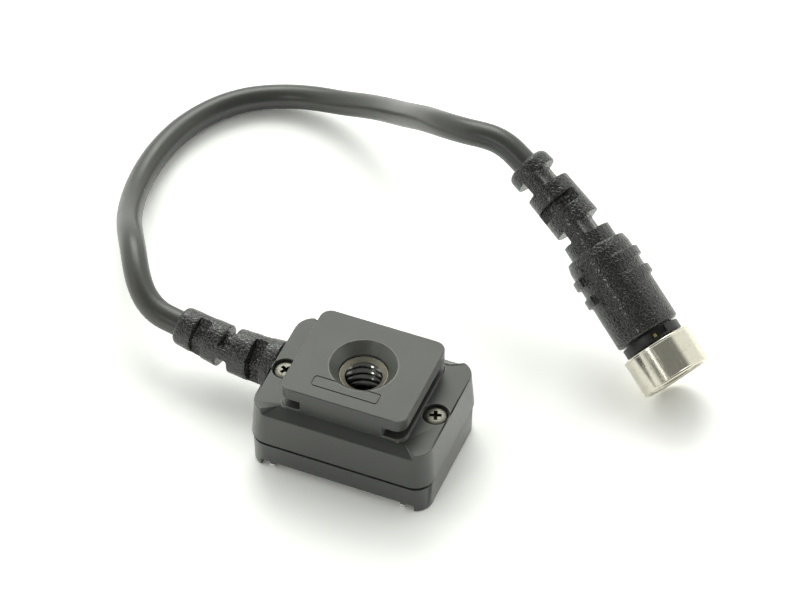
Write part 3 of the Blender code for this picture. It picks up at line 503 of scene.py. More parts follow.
def slab(half: Triple, centre: Triple, turn: float = 0.0, taper: float = 1.0) -> Shape:
    """Make a block, narrower at its foot by a taper.

    Args:
        half: Its half sizes in mm.
        centre: Its centre in mm.
        turn: Its turn about its own upright axis in degrees.
        taper: Its foot's size over its top's.

    Returns:
        The block.
    """
    shape = bmesh.new()
    bmesh.ops.create_cube(shape, size=2.0)
    low = [v for v in shape.verts if v.co.z < 0]
    bmesh.ops.scale(shape, verts=low, vec=(taper, taper, 1.0))
    bmesh.ops.scale(shape, verts=shape.verts, vec=Vector(half) * MM)
    turn_about_z(shape, turn)
    bmesh.ops.translate(shape, verts=shape.verts, vec=Vector(centre) * MM)
    return shape


def linked(name: str, data: bpy.types.ID) -> Piece:
    """Put data into the scene.

    Args:
        name: The object's name.
        data: Its mesh, curve, light or camera.

    Returns:
        The object.
    """
    made = bpy.data.objects.new(name, data)
    bpy.context.scene.collection.objects.link(made)
    return made


def as_object(shape: Shape, name: str) -> Piece:
    """Put a shape into the scene and free it.

    Args:
        shape: The shape.
        name: The object's name.

    Returns:
        The object.
    """
    mesh = bpy.data.meshes.new(name)
    shape.to_mesh(mesh)
    shape.free()
    return linked(name, mesh)


def used_up(piece: Piece, *others: Piece) -> Shape:
    """Use a helper object's modifiers up.

    Args:
        piece: The helper, removed here.
        others: Further helpers to remove.

    Returns:
        Its mesh with the modifiers applied.
    """
    bpy.context.view_layer.update()
    result = piece.evaluated_get(bpy.context.evaluated_depsgraph_get())
    shape = bmesh.new()
    shape.from_mesh(bpy.data.meshes.new_from_object(result))
    for helper in (piece, *others):
        bpy.data.objects.remove(helper, do_unlink=True)
    return shape


def carved(shape: Shape, *tools: Shape) -> Shape:
    """Cut tools out of a shape.

    Args:
        shape: The shape, freed here.
        tools: The tools, freed here.

    Returns:
        What is left of the shape.
    """
    body = as_object(shape, "carved")
    helpers = []
    for number, tool in enumerate(tools):
        helpers.append(as_object(tool, f"tool_{number}"))
        step = body.modifiers.new(f"cut_{number}", "BOOLEAN")
        step.operation = "DIFFERENCE"
        step.solver = "EXACT"
        step.object = helpers[-1]
    return used_up(body, *helpers)


def remeshed(shape: Shape, voxel: float, passes: int) -> Shape:
    """Remesh a shape evenly and smooth it, which rounds every edge a little.

    Args:
        shape: The shape, freed here.
        voxel: The voxel's size in metres.
        passes: How many smoothing passes follow.

    Returns:
        The new shape.
    """
    piece = as_object(shape, "remesh")
    grid = piece.modifiers.new("grid", "REMESH")
    grid.mode = "VOXEL"
    grid.voxel_size = voxel
    even = used_up(piece)
    for _ in range(passes):
        bmesh.ops.smooth_vert(even, verts=even.verts, factor=0.5, use_axis_x=True,
                              use_axis_y=True, use_axis_z=True)
    return even


def finish_piece(name: str, shape: Shape, finishes: list[Finish],
                 stands_for: tuple[str, ...] = (), place: Matrix | None = None,
                 angle: float = 35.0, weighted: bool = False,
                 body: Body = Body.ADAPTER) -> Piece:
    """Turn a shape into a dressed piece that rides on its body.

    Args:
        name: The piece's name.
        shape: Its mesh, freed here.
        finishes: Its finishes, the first of them the main one.
        stands_for: The CAD nodes that it replaces.
        place: Where the mesh goes, or None where it is in place.
        angle: Edges sharper than this many degrees stay sharp.
        weighted: Whether flat faces keep a flat shading beside rounded edges.
        body: The body that it rides on.

    Returns:
        The piece.
    """
    if place is not None:
        bmesh.ops.transform(shape, matrix=place, verts=shape.verts)
    piece = as_object(shape, name)
    for finish in finishes:
        piece.data.materials.append(finish.material())
    piece.data.shade_smooth()
    piece.data.set_sharp_from_angle(angle=math.radians(angle))
    if weighted:
        normals = piece.modifiers.new("flat_faces", "WEIGHTED_NORMAL")
        normals.keep_sharp = True
        normals.weight = 100
    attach(piece, body.value)
    if stands_for:
        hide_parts(*stands_for)
    LOG.info("%s: %d faces", name, len(piece.data.polygons))
    return piece


def dress_node(node: str, finish: Finish) -> None:
    """Give a CAD node that stays shown its finish.

    Args:
        node: The CAD node's name.
        finish: The finish.
    """
    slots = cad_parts[node].data.materials
    slots.clear()
    slots.append(finish.material())
    LOG.info("%s: dressed", node)


def at(x: float, y: float) -> Matrix:
    """The placement of an upright piece at a place in mm."""
    return Matrix.Translation(Vector((x, y, 0.0)) * MM)


def axis_place(origin: Vector, along: Vector) -> Matrix:
    """Placement whose local Z runs along a direction and whose local Y leans upward.

    Args:
        origin: Its origin in metres.
        along: The direction of its local Z.

    Returns:
        The placement.
    """
    z_axis = along.normalized()
    up = Vector((0.0, 0.0, 1.0))
    y_axis = (up - z_axis * up.dot(z_axis)).normalized()
    turned = Matrix((y_axis.cross(z_axis), y_axis, z_axis)).transposed().to_4x4()
    return Matrix.Translation(origin) @ turned


PLUG_AXIS = axis_place(Vector((38.0, 23.75, 4.65)) * MM, Vector((-0.75, 0.4330127, 0.5)))

# ---- finishes

SATIN_CASE = Plastic("case_satin", (0.044, 0.047, 0.041), 0.36, "matt", 0.10 * MM, 0.003 * MM,
                     haze=0.035, haze_pitch=3.5 * MM, dust=0.03)
MATT_CASE = Plastic("case_matt", (0.020, 0.023, 0.018), 0.29, "matt", 0.16 * MM, 0.010 * MM,
                    haze=0.03, dust=0.05, specular=0.66, bloom=0.60)
# Upper rounded edges: paler than the satin plastic as a painted highlight, and glossier.
EDGE_HIGHLIGHT_CASE = Plastic("case_edge_painted_highlight", (0.085, 0.088, 0.080), 0.22, "matt", 0.10 * MM, 0.002 * MM,
                    haze=0.05, dust=0.02, specular=0.8)
# The socket's cone is paler than the rest of the case: painted light on its walls, with haze over
# it.
SOCKET_CONE_PAINTED_LIGHT = Plastic("case_socket_painted_light", (0.072, 0.076, 0.066), 0.34, "matt", 0.22 * MM,
                      0.012 * MM, haze=0.10, haze_pitch=1.5 * MM, dust=0.02, specular=0.9)
CASE_FINISHES = [SATIN_CASE, MATT_CASE, EDGE_HIGHLIGHT_CASE, SOCKET_CONE_PAINTED_LIGHT]
GRAINED_RUBBER = Plastic("grained_rubber", (0.011, 0.012, 0.010), 0.19, "grain", 0.60 * MM,
                         0.080 * MM, haze=0.04, dust=0.02, specular=0.75, bloom=0.08)
SMOOTH_JACKET = Plastic("smooth_jacket", (0.044, 0.046, 0.041), 0.30, "matt", 0.5 * MM,
                        0.006 * MM, haze=0.06, dust=0.03, specular=0.7)
INNER_PLASTIC = Plastic("inner_plastic", (0.016, 0.017, 0.016), 0.34, "matt", 0.2 * MM,
                        0.006 * MM, haze=0.08, dust=0.02)
GREEN_BOARD = Plastic("green_board", (0.02, 0.10, 0.045), 0.4, "matt", 0.3 * MM, 0.01 * MM)
NICKEL = Metal("bright_nickel", (0.71, 0.68, 0.59), (0.47, 0.42, 0.30), 0.14, 0.5 * MM,
               0.003 * MM, 0.6, 0.18, PLUG_AXIS)
STEEL = Metal("bright_steel", (0.72, 0.71, 0.68), (0.42, 0.39, 0.33), 0.22, 0.4 * MM,
              0.003 * MM, 0.5)
WORN_STEEL = Metal("worn_steel", (0.185, 0.18, 0.155), (0.055, 0.05, 0.04), 0.36, 0.30 * MM,
                   0.030 * MM, 0.9, 0.2)
BARE_RING = Metal("bare_lead_in", (0.25, 0.235, 0.19), (0.07, 0.062, 0.045), 0.45, 0.22 * MM,
                  0.030 * MM, 0.9, 0.1)
BLACKENED = Metal("blackened_steel", (0.09, 0.09, 0.085), (0.03, 0.029, 0.027), 0.22,
                  0.4 * MM, 0.006 * MM, 0.8, 0.1)
# A paler, glossier copy of the bush's blackened steel, painted paler so the thread catches brighter
# highlights.
THREAD_STEEL_PAINTED_HIGHLIGHT = Metal("thread_painted_highlight", (0.24, 0.24, 0.23), (0.04, 0.039, 0.036), 0.12,
                     0.5 * MM, 0.004 * MM, 0.9, 0.1)
# Near-black painted shade for the walls of a screw's cross recess.
RECESS_SHADE = Plastic("recess_painted_shade", (0.010, 0.010, 0.009), 0.55, "matt", 0.1 * MM, 0.01 * MM,
                dust=0.0, specular=0.2)
BRASS = Metal("bright_brass", (0.80, 0.60, 0.28), (0.45, 0.30, 0.12), 0.2, 0.5 * MM,
              0.003 * MM, 0.5)
DULL_BRASS = Metal("dull_brass", (0.42, 0.35, 0.17), (0.10, 0.08, 0.04), 0.35, 0.2 * MM,
                   0.01 * MM, 0.9, 0.2, PLUG_AXIS)
PLUG_BRASS = Metal("plug_brass", (0.80, 0.60, 0.28), (0.45, 0.30, 0.12), 0.2, 0.4 * MM,
                   0.003 * MM, 0.5, 0.2, PLUG_AXIS)


# ---- case


@dataclass
class CrossScrew:
    """A cross-recessed screw: pan-headed in the case, countersunk in the shoe, in mm."""

    head: float
    shank: float
    arm: float
    arm_width: float
    recess: float
    steps: int = 64
    arm_taper: float = 0.55
    head_height: float = 0.9
    dome: tuple[Pair, ...] = ((0.40, 0.01), (0.68, 0.05), (0.86, 0.12), (0.96, 0.24), (1.0, 0.42))
    shade_share: float = 0.62
    shade_depths: Pair = (0.09, 0.6)
    cone: float = 0.45
    land: Pair = (0.05, 0.06)

    def crossed(self, profile: Profile, top: float, turn: float) -> Shape:
        """Spin the screw and press the cross recess into its head.

        Args:
            profile: The screw's profile.
            top: The height of the recess's mouth.
            turn: The turn of the recess in degrees.

        Returns:
            The screw's shape.
        """
        blades = [slab((self.arm, self.arm_width, self.recess), (0.0, 0.0, top),
                       turn + quarter, self.arm_taper) for quarter in (0.0, 90.0)]
        return carved(spun(profile, self.steps), *blades)

    def pan_head(self, node: str, place: Pair, top: float, tip: float, turn: float) -> None:
        """Make a pan-headed screw.

        Args:
            node: The CAD node that it replaces.
            place: Its axis in X and Y.
            top: The height of its head's top.
            tip: The height of its tip.
            turn: The turn of its recess in degrees.
        """
        r, seat = self.head, top - self.head_height
        profile = [(0.0, top), *((r * share, top - drop) for share, drop in self.dome), (r, seat),
                   (self.shank, seat), (self.shank, tip + self.shank), (0.0, tip)]
        shape = self.crossed(profile, top, turn)
        # Faces on the cross recess's walls take the second finish, a near-black painted shade.
        high, low = ((top - depth) * MM for depth in self.shade_depths)
        for face in shape.faces:
            middle = face.calc_center_median()
            inside = middle.to_2d().length < self.shade_share * r * MM
            face.material_index = int(inside and low < middle.z < high)
        finish_piece(node + "_worn", shape, [WORN_STEEL, RECESS_SHADE],
                     (node,), at(*place), angle=50.0)

    def flush_head(self, node: str, place: Pair, face: float, end: float, turn: float) -> None:
        """Make a countersunk screw whose head faces down.

        Args:
            node: The CAD node that it replaces.
            place: Its axis in X and Y.
            face: The height of its head's face.
            end: The height of its end.
            turn: The turn of its recess in degrees.
        """
        inset, rise = self.land
        profile = [(0.0, end), (self.shank, end), (self.shank, face + self.cone),
                   (self.head, face + rise), (self.head - inset, face), (0.0, face)]
        finish_piece(node + "_cross", self.crossed(profile, face, turn), [STEEL],
                     (node,), at(*place))


@dataclass
class Case:
    """The two shells and their screws, with the foot and the bare frame of its badge, in mm."""

    rounding: float = 0.14
    rounding_angle: float = 28.0
    plate_top: float = 15.2
    badge_centre: Pair = (-0.46, -4.93)
    badge_half: Pair = (4.95, 1.0)
    badge_corner: float = 0.45
    groove_width: float = 0.18
    groove_depth: float = 0.14
    rim_low: float = 4.5
    rim_half: float = 0.5
    outer_half: Pair = (15.0, 12.0)
    seam_half: Pair = (12.9, 9.3)
    seam_corner: float = 2.2
    flat_share: float = 0.985
    edge_low: float = 11.0
    edge_slopes: Pair = (0.1, 0.98)
    edge_area: float = 12.0
    socket_centre: Pair = (0.0, 0.2)
    socket_reach: tuple[float, float, float, float] = (3.5, 4.7, 13.6, 15.1)
    screws: tuple[tuple[str, float, float], ...] = (("left", -11.2, 58.0), ("right", 11.2, 20.0))
    screw_y: float = -1.1
    screw_top: float = 11.05
    screw_tip: float = 1.6

    def badge_frame(self) -> Shape:
        """Make the cutter of the badge's bare frame, a rounded outline of even width.

        Returns:
            The cutter.
        """
        shape = bmesh.new()
        bmesh.ops.create_grid(shape, x_segments=1, y_segments=1, size=1.0)
        bmesh.ops.scale(shape, verts=shape.verts, vec=Vector((*self.badge_half, 1.0)) * MM)
        bevel(shape, shape.verts[:], self.badge_corner, 5, "VERTICES")
        inner = shape.faces[:]
        bmesh.ops.inset_region(shape, faces=inner, thickness=self.groove_width * MM,
                               use_boundary=True, use_even_offset=True)
        bmesh.ops.delete(shape, geom=inner, context="FACES")
        lifted = bmesh.ops.extrude_face_region(shape, geom=shape.faces[:], use_keep_orig=True)
        top = [v for v in lifted["geom"] if isinstance(v, bmesh.types.BMVert)]
        bmesh.ops.translate(shape, verts=top, vec=(0.0, 0.0, 2 * self.groove_depth * MM))
        bmesh.ops.recalc_face_normals(shape, faces=shape.faces)
        place = (*self.badge_centre, self.plate_top - self.groove_depth)
        bmesh.ops.translate(shape, verts=shape.verts, vec=Vector(place) * MM)
        return shape

    def seam_rebate(self) -> Shape:
        """Make the cutter that lowers the lower shell's rim, so that the seam shows as a line.

        Returns:
            The cutter.
        """
        middle = self.rim_low + self.rim_half
        outer, inner = (slab((*half, self.rim_half), (0.0, 0.0, middle))
                        for half in (self.outer_half, self.seam_half))
        uprights = [e for e in inner.edges if abs(e.verts[0].co.z - e.verts[1].co.z) > 0.1 * MM]
        bevel(inner, uprights, self.seam_corner, 8)
        bmesh.ops.scale(inner, verts=inner.verts, vec=(1.0, 1.0, 3.0),
                        space=Matrix.Translation((0.0, 0.0, -middle * MM)))
        return carved(outer, inner)

    def finish_of(self, face: bmesh.types.BMFace) -> Plastic:
        """Choose a face's finish by its place, slope and size.

        Args:
            face: A face of a shell.

        Returns:
            The cone's finish with its painted light, the upper edges' with their painted highlight,
            the flat tops' or the sides'.
        """
        place = face.calc_center_median() - Vector((*self.socket_centre, 0.0)) * MM
        near, far, low, high = (size * MM for size in self.socket_reach)
        # Faces in the socket's cone get the paler finish that paints light on its walls.
        if near < place.to_2d().length < far and low < place.z < high:
            return SOCKET_CONE_PAINTED_LIGHT
        steep, level = self.edge_slopes
        small = face.calc_area() < self.edge_area * (self.rounding * MM) ** 2
        # Small sloping faces high on the case are the rounded upper edges, which get the paler
        # painted highlight.
        if place.z > self.edge_low * MM and steep < face.normal.z < level and small:
            return EDGE_HIGHLIGHT_CASE
        return SATIN_CASE if face.normal.z > self.flat_share else MATT_CASE

    def shell(self, node: str, name: str, tool: Shape) -> None:
        """Make one shell.

        Args:
            node: The CAD node.
            name: The piece's name.
            tool: What is cut out of it.
        """
        shape = copy_node(node)
        soften(shape, self.rounding, self.rounding_angle)
        shape = carved(shape, tool)
        shape.normal_update()
        for face in shape.faces:
            face.material_index = CASE_FINISHES.index(self.finish_of(face))
        finish_piece(name, shape, CASE_FINISHES, (node,), weighted=True)

    def build(self) -> None:
        """Make both shells and their screws."""
        self.shell("upper_shell", "case_top", self.badge_frame())
        self.shell("lower_shell", "case_bottom", self.seam_rebate())
        screw = CrossScrew(head=1.7, shank=0.75, arm=1.12, arm_width=0.34, recess=0.6)
        for label, x, turn in self.screws:
            screw.pan_head(f"case_screw_{label}", (x, self.screw_y), self.screw_top,
                           self.screw_tip, turn)


@dataclass
class TripodBush:
    """The threaded insert in the socket, in mm."""

    centre_y: float = 0.2
    top: float = 13.05
    floor: float = 7.65
    bottom: float = 6.85
    radius: float = 4.3
    flange: Triple = (5.4, 8.65, 9.65)
    rim: float = 13.4
    lead_in: Triple = (3.25, 2.62, 0.42)
    lip: tuple[Pair, ...] = ((0.0, -0.02), (0.04, 0.0), (0.09, 0.0), (0.12, -0.03))
    bore: float = 3.2
    bore_steps: Pair = (0.3, 0.05)
    crest: float = 2.6
    crest_edge: float = 0.05
    root_depth: float = 0.06
    ridge: Pair = (0.52, 0.12)
    thread_ends: Pair = (0.25, 0.35)
    pitch: float = 1.27
    turn_steps: int = 48
    steps: int = 96

    def build(self) -> None:
        """Make the insert and its thread."""
        wide, narrow, drop = self.lead_in
        flange, low, high = self.flange
        shoulder = self.rim - drop
        lip = [(wide + out, self.rim + rise) for out, rise in self.lip]
        relief, step = self.bore_steps
        profile = [(0.0, self.floor), (self.bore, self.floor), (self.bore, shoulder - relief),
                   (narrow, shoulder - step), (narrow, shoulder), *lip, (lip[-1][0], self.top),
                   (self.radius, self.top), (self.radius, high), (flange, high), (flange, low),
                   (self.radius, low), (self.radius, self.bottom), (0.0, self.bottom)]
        shape = spun(profile, self.steps)
        for face in shape.faces:
            face.material_index = int(face.calc_center_median().z > (shoulder - 0.01) * MM)
        place = at(0.0, self.centre_y)
        finish_piece("threaded_bush", shape, [BLACKENED, BARE_RING],
                     ("tripod_bush",), place, angle=20.0)
        # The thread ridge takes the paler copy of the bush's steel, which paints brighter highlights
        # on its crests.
        finish_piece("bush_thread", self.thread(shoulder),
                     [THREAD_STEEL_PAINTED_HIGHLIGHT], (), place, angle=50.0)

    def thread(self, shoulder: float) -> Shape:
        """Make the thread's ridge, a helix with closed ends that is rooted in the bore's wall.

        Args:
            shoulder: The height of the lead-in's foot, which the thread stays under.

        Returns:
            The ridge.
        """
        shape = bmesh.new()
        low, high = self.thread_ends
        start, root, edge = self.floor + low, self.bore + self.root_depth, self.crest_edge
        crest, (wide, narrow) = self.crest, self.ridge
        section = [(root, start - wide), (crest + edge, start - narrow), (crest, start),
                   (crest + edge, start + narrow), (root, start + wide)]
        points = [shape.verts.new((r * MM, 0.0, z * MM)) for r, z in section]
        edges = [shape.edges.new(pair) for pair in zip(points, points[1:] + points[:1])]
        turns = (shoulder - high - start) / self.pitch
        steps = int(turns * self.turn_steps)
        bmesh.ops.spin(shape, geom=points + edges, cent=(0, 0, 0), axis=(0, 0, 1),
                       dvec=(0, 0, self.pitch * MM * turns / steps),
                       angle=2 * math.pi * turns, steps=steps, use_merge=False)
        bmesh.ops.holes_fill(shape, edges=[e for e in shape.edges if e.is_boundary], sides=0)
        bmesh.ops.recalc_face_normals(shape, faces=shape.faces)
        return shape


# ---- shoe


@dataclass
class Shoe:
    """The female shoe underneath: rail, springs, contacts and screws, in mm."""

    floor: float = 3.2
    proud: float = 0.45
    stem_low: float = 4.0
    stem_share: float = 0.6
    nose: tuple[Pair, ...] = ((1.0, 0.35), (0.95, 0.18), (0.75, 0.05), (0.4, 0.0))
    sharp_angle: float = 40.0
    screw_places: tuple[tuple[str, float, float], ...] = (
        ("front_left", -5.3, -6.1), ("front_right", 5.3, -6.1),
        ("back_left", -5.3, 7.7), ("back_right", 5.3, 7.7))
    screw_turns: Pair = (17.0, 31.0)
    contacts: tuple[tuple[str, float, float, float], ...] = (
        ("centre_contact", 1.6, 0.0, 0.4), ("signal_contact_1", 0.75, -4.2, 3.6),
        ("signal_contact_2", 0.75, 4.2, 3.6), ("signal_contact_3", 0.75, -4.2, -0.8))

    def soft_copy(self, node: str, name: str, finish: Finish, width: float) -> None:
        """Replace a CAD node by a copy with rounded edges.

        Args:
            node: The CAD node.
            name: The piece's name.
            finish: The piece's finish.
            width: The rounding's width.
        """
        shape = copy_node(node)
        soften(shape, width, self.sharp_angle)
        finish_piece(name, shape, [finish], (node,), weighted=True)

    def contact(self, node: str, radius: float, x: float, y: float) -> None:
        """Make one round-nosed contact with its stem.

        Args:
            node: The CAD node that it replaces.
            radius: Its radius.
            x: Its axis in X.
            y: Its axis in Y.
        """
        tip, end, stem = self.floor - self.proud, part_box(node)[1][2] / MM, radius * self.stem_share
        profile = [(0.0, end), (stem, end), (stem, self.stem_low), (radius, self.stem_low),
                   *((radius * share, tip + rise) for share, rise in self.nose), (0.0, tip)]
        finish_piece(node + "_nose", spun(profile, 64), [BRASS],
                     (node,), at(x, y))

    def build(self) -> None:
        """Make every piece of the shoe."""
        self.soft_copy("hot_shoe_rail", "shoe_rail", STEEL, 0.07)
        self.soft_copy("contact_block", "contact_carrier", INNER_PLASTIC, 0.08)
        for hand in ("left", "right"):
            self.soft_copy(f"shoe_spring_{hand}", f"leaf_spring_{hand}", STEEL, 0.05)
        for contact in self.contacts:
            self.contact(*contact)
        screw = CrossScrew(head=1.05, shank=0.5, arm=0.55, arm_width=0.13, recess=0.22, steps=48)
        first, step = self.screw_turns
        for number, (label, x, y) in enumerate(self.screw_places):
            node = "shoe_screw_" + label
            screw.flush_head(node, (x, y), self.floor + 0.05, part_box(node)[1][2] / MM,
                             first + step * number)
        dress_node("contact_board", GREEN_BOARD)


# ---- plug


@dataclass
class Mouldings:
    """The grained mouldings: the relief at the case and the plug with its own relief."""

    voxel: float = 0.14 * MM
    passes: int = 2

    def moulding(self, node: str, name: str) -> Piece:
        """Make one moulding from its solid, its edges rounded as a mould leaves them."""
        shape = remeshed(copy_node(node, False), self.voxel, self.passes)
        return finish_piece(name, shape, [GRAINED_RUBBER], (node,),
                            angle=180.0)

    def build(self) -> list[Piece]:
        """Make both mouldings, the case's relief first."""
        return [self.moulding("box_strain_relief", "relief_at_case"),
                self.moulding("plug_boot", "plug_moulding")]


@dataclass
class PlugNose:
    """The plug's metal end, measured in mm along its axis from the ring's open end."""

    ring_length: float = 5.6
    ring_radius: float = 5.3
    ring_bore: float = 4.55
    ring_lip: float = 0.9
    ring_gap: float = 0.3
    bead_length: float = 0.30
    bead_height: float = 0.07
    ring_edge: float = 0.10
    foot_edge: Pair = (0.14, 0.12)
    mouth: float = 0.25
    collar_low: float = 5.9
    collar_high: float = 7.25
    collar_radius: float = 4.45
    collar_edge: float = 0.12
    spigot: Pair = (3.4, 11.25)
    slot_half: Triple = (1.2, 1.0, 1.2)
    slot_turn: float = -20.0
    slot_side: float = 0.55
    slot_wall: float = 0.3
    tab_half: Triple = (0.26, 0.17, 0.32)
    tab_height: float = 6.6
    tab_depth: float = 0.8
    tab_lean: float = 0.24
    tube: float = 3.7
    tube_wall: float = 0.5
    tube_low: float = 0.6
    tube_edge: float = 0.1
    shoulder: Triple = (4.25, 3.7, 4.4)
    pin_circle: float = 1.75
    pin_radius: float = 0.4
    pin_ends: Pair = (0.9, 4.7)
    pin_nose: tuple[Pair, ...] = ((1.0, 0.3), (0.9, 0.14), (0.6, 0.03))
    steps: int = 128

    def ring(self) -> Piece:
        """Make the turning coupling ring, with a fine raised edge at each end.

        Returns:
            The piece.
        """
        top, r, bore, lip = self.ring_length, self.ring_radius, self.ring_bore, self.ring_lip
        hole, band = self.tube + self.ring_gap, r - self.bead_height
        bead, slope = self.bead_length, self.bead_length + self.bead_height
        edge, mouth, (inset, rise) = self.ring_edge, self.mouth, self.foot_edge
        profile = [(hole, top), (r - edge, top), (r, top - edge), (r, top - bead),
                   (band, top - slope), (band, slope), (r, bead), (r, rise), (r - inset, 0.0),
                   (bore + mouth, 0.0), (bore, mouth), (bore, top - lip), (hole, top - lip)]
        profile = rounded(profile, {2: 0.05, 7: 0.05, 10: 0.1})
        return finish_piece("turning_ring", spun(profile, self.steps, True),
                            [NICKEL], ("coupling_ring",), PLUG_AXIS, angle=25.0,
                            body=Body.RING)

    def nose_tube(self) -> Piece:
        """Make the tube inside the ring, with the shoulder that holds the ring's lip.

        Returns:
            The piece.
        """
        r, wide, low, high = self.tube, *self.shoulder
        inner, foot, edge = r - self.tube_wall, self.tube_low, self.tube_edge
        profile = [(inner, self.ring_length), (r, self.ring_length), (r, high), (wide, high),
                   (wide, low), (r, low), (r, foot + edge), (r - edge, foot),
                   (inner + edge, foot), (inner, foot + edge)]
        return finish_piece("nose_tube", spun(profile, self.steps, True), [NICKEL],
                            ("plug_nose_shell",), PLUG_AXIS, angle=25.0)

    def collar(self) -> Piece:
        """Make the black collar between ring and moulding, with its slot.

        Returns:
            The piece.
        """
        low, high, r, edge = (self.collar_low, self.collar_high, self.collar_radius,
                              self.collar_edge)
        spigot, top = self.spigot
        profile = [(0.0, top), (spigot, top), (spigot, high), (r, high), (r, low), (0.0, low)]
        wide, _, tall = self.slot_half
        slot = slab(self.slot_half, (self.slot_side - wide, r, low + self.slot_wall + tall))
        turn_about_z(slot, self.slot_turn)
        shape = carved(spun(rounded(profile, {3: edge, 4: edge}), self.steps), slot)
        return finish_piece("black_collar", shape, [INNER_PLASTIC],
                            ("plug_collar",), PLUG_AXIS, angle=30.0)

    def clip(self) -> Piece:
        """Make the dull brass tab in the slot, which leans back into it.

        Returns:
            The piece.
        """
        height, depth = self.tab_height, self.collar_radius - self.tab_depth + self.tab_half[1]
        shape = slab(self.tab_half, (0.0, depth, height))
        back = [v for v in shape.verts if v.co.z > height * MM and v.co.y > depth * MM]
        bmesh.ops.translate(shape, verts=back, vec=(0.0, -self.tab_lean * MM, 0.0))
        bevel(shape, shape.edges[:], 0.05, 3)
        turn_about_z(shape, self.slot_turn)
        return finish_piece("brass_tab", shape, [DULL_BRASS],
                            ("retaining_clip",), PLUG_AXIS, weighted=True)

    def pins(self) -> list[Piece]:
        """Make the four round-nosed pins.

        Returns:
            The pieces.
        """
        made = []
        r, (low, high) = self.pin_radius, self.pin_ends
        profile = [(0.0, high), (r, high),
                   *((r * share, low + rise) for share, rise in self.pin_nose), (0.0, low)]
        for number in range(4):
            turn = math.pi / 2 * (number + 0.5)
            centre = Vector((math.cos(turn), math.sin(turn), 0.0)) * self.pin_circle * MM
            node = f"contact_pin_{number + 1}"
            made.append(finish_piece(node + "_round", spun(profile, 32),
                                     [PLUG_BRASS], (node,),
                                     PLUG_AXIS @ Matrix.Translation(centre)))
        return made

    def build(self) -> list[Piece]:
        """Make every piece of the plug's end."""
        dress_node("pin_insulator", INNER_PLASTIC)
        return [self.ring(), self.nose_tube(), self.collar(), self.clip(), *self.pins()]


# ---- lead


@dataclass
class Lead:
    """The lead between the two reliefs, in mm."""

    radius: float = 1.9
    straight: float = 2.2
    tuck: float = 0.6
    route: list[Triple] = field(default_factory=lambda: [
        (-35.1, 5.5, 8.2), (-38.2, 8.1, 9.4), (-40.9, 12.1, 10.1), (-45.9, 20.6, 6.9),
        (-49.8, 30.7, 3.2), (-50.9, 38.9, 2.1), (-50.0, 45.7, 2.0), (-47.4, 51.8, 2.0),
        (-43.4, 56.3, 2.1), (-38.5, 58.9, 2.3), (-33.5, 59.7, 3.0), (-28.6, 59.2, 4.2),
        (-24.1, 57.8, 6.3), (-19.4, 55.2, 9.3), (-14.3, 50.8, 13.8), (-9.1, 45.8, 19.0),
        (-4.5, 42.5, 22.1), (-0.4, 41.2, 23.4), (3.6, 40.9, 23.6),
    ])
    start: Triple = (-32.221, 4.635, 7.635)
    start_way: Triple = (-0.9883, 0.1078, 0.1078)
    end: Triple = (6.836, 40.043, 22.8)
    end_way: Triple = (0.8678, -0.353, -0.3497)
    samples: int = 160

    def centreline(self) -> np.ndarray:
        """Points on the cubic spline through the route, in metres.

        Returns:
            The points, with a straight stretch into the relief at each end.
        """
        ways = [np.array(self.start_way), np.array(self.end_way)]
        knots = np.array([self.start, *self.route, self.end]) * MM
        chords = np.linalg.norm(np.diff(knots, axis=0), axis=1)
        slopes = np.diff(knots, axis=0) / chords[:, None]
        along = np.concatenate([[0.0], np.cumsum(chords)])
        count = len(knots)
        system, turn = np.zeros((count, count)), np.zeros((count, 3))
        system[0, :2], turn[0] = (2 * chords[0], chords[0]), 6 * (slopes[0] - ways[0])
        system[-1, -2:], turn[-1] = (chords[-1], 2 * chords[-1]), 6 * (ways[1] - slopes[-1])
        for i in range(1, count - 1):
            system[i, i - 1:i + 2] = (chords[i - 1], 2 * (chords[i - 1] + chords[i]), chords[i])
            turn[i] = 6 * (slopes[i] - slopes[i - 1])
        bows = np.linalg.solve(system, turn)
        back = (self.straight + self.tuck) * MM
        line = [knots[0] - ways[0] * back, knots[0] - ways[0] * back / 2]
        for place in np.linspace(0.0, along[-1], self.samples):
            i = min(int(np.searchsorted(along, place, side="right")) - 1, count - 2)
            left = (along[i + 1] - place) / chords[i]
            right = 1.0 - left
            bow = (left ** 3 - left) * bows[i] + (right ** 3 - right) * bows[i + 1]
            line.append(left * knots[i] + right * knots[i + 1] + bow * chords[i] ** 2 / 6)
        line += [knots[-1] + ways[1] * back / 2, knots[-1] + ways[1] * back]
        return np.array(line)

    def build(self, on_lead: list[Piece | str]) -> None:
        """Args:
            on_lead: The pieces at its two ends; not used.
        """
        line = self.centreline()
        curve = bpy.data.curves.new("lead_cord", "CURVE")
        curve.dimensions = "3D"
        curve.bevel_depth = self.radius * MM
        curve.bevel_resolution = 10
        curve.use_fill_caps = True
        spline = curve.splines.new("POLY")
        spline.points.add(len(line) - 1)
        for point, place in zip(spline.points, line):
            point.co = (*place, 1.0)
        spline.use_smooth = True
        curve.materials.append(SMOOTH_JACKET.material())
        cord = linked("lead_cord", curve)
        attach(cord, Body.ADAPTER.value)
        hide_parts("lead")


# ---- studio


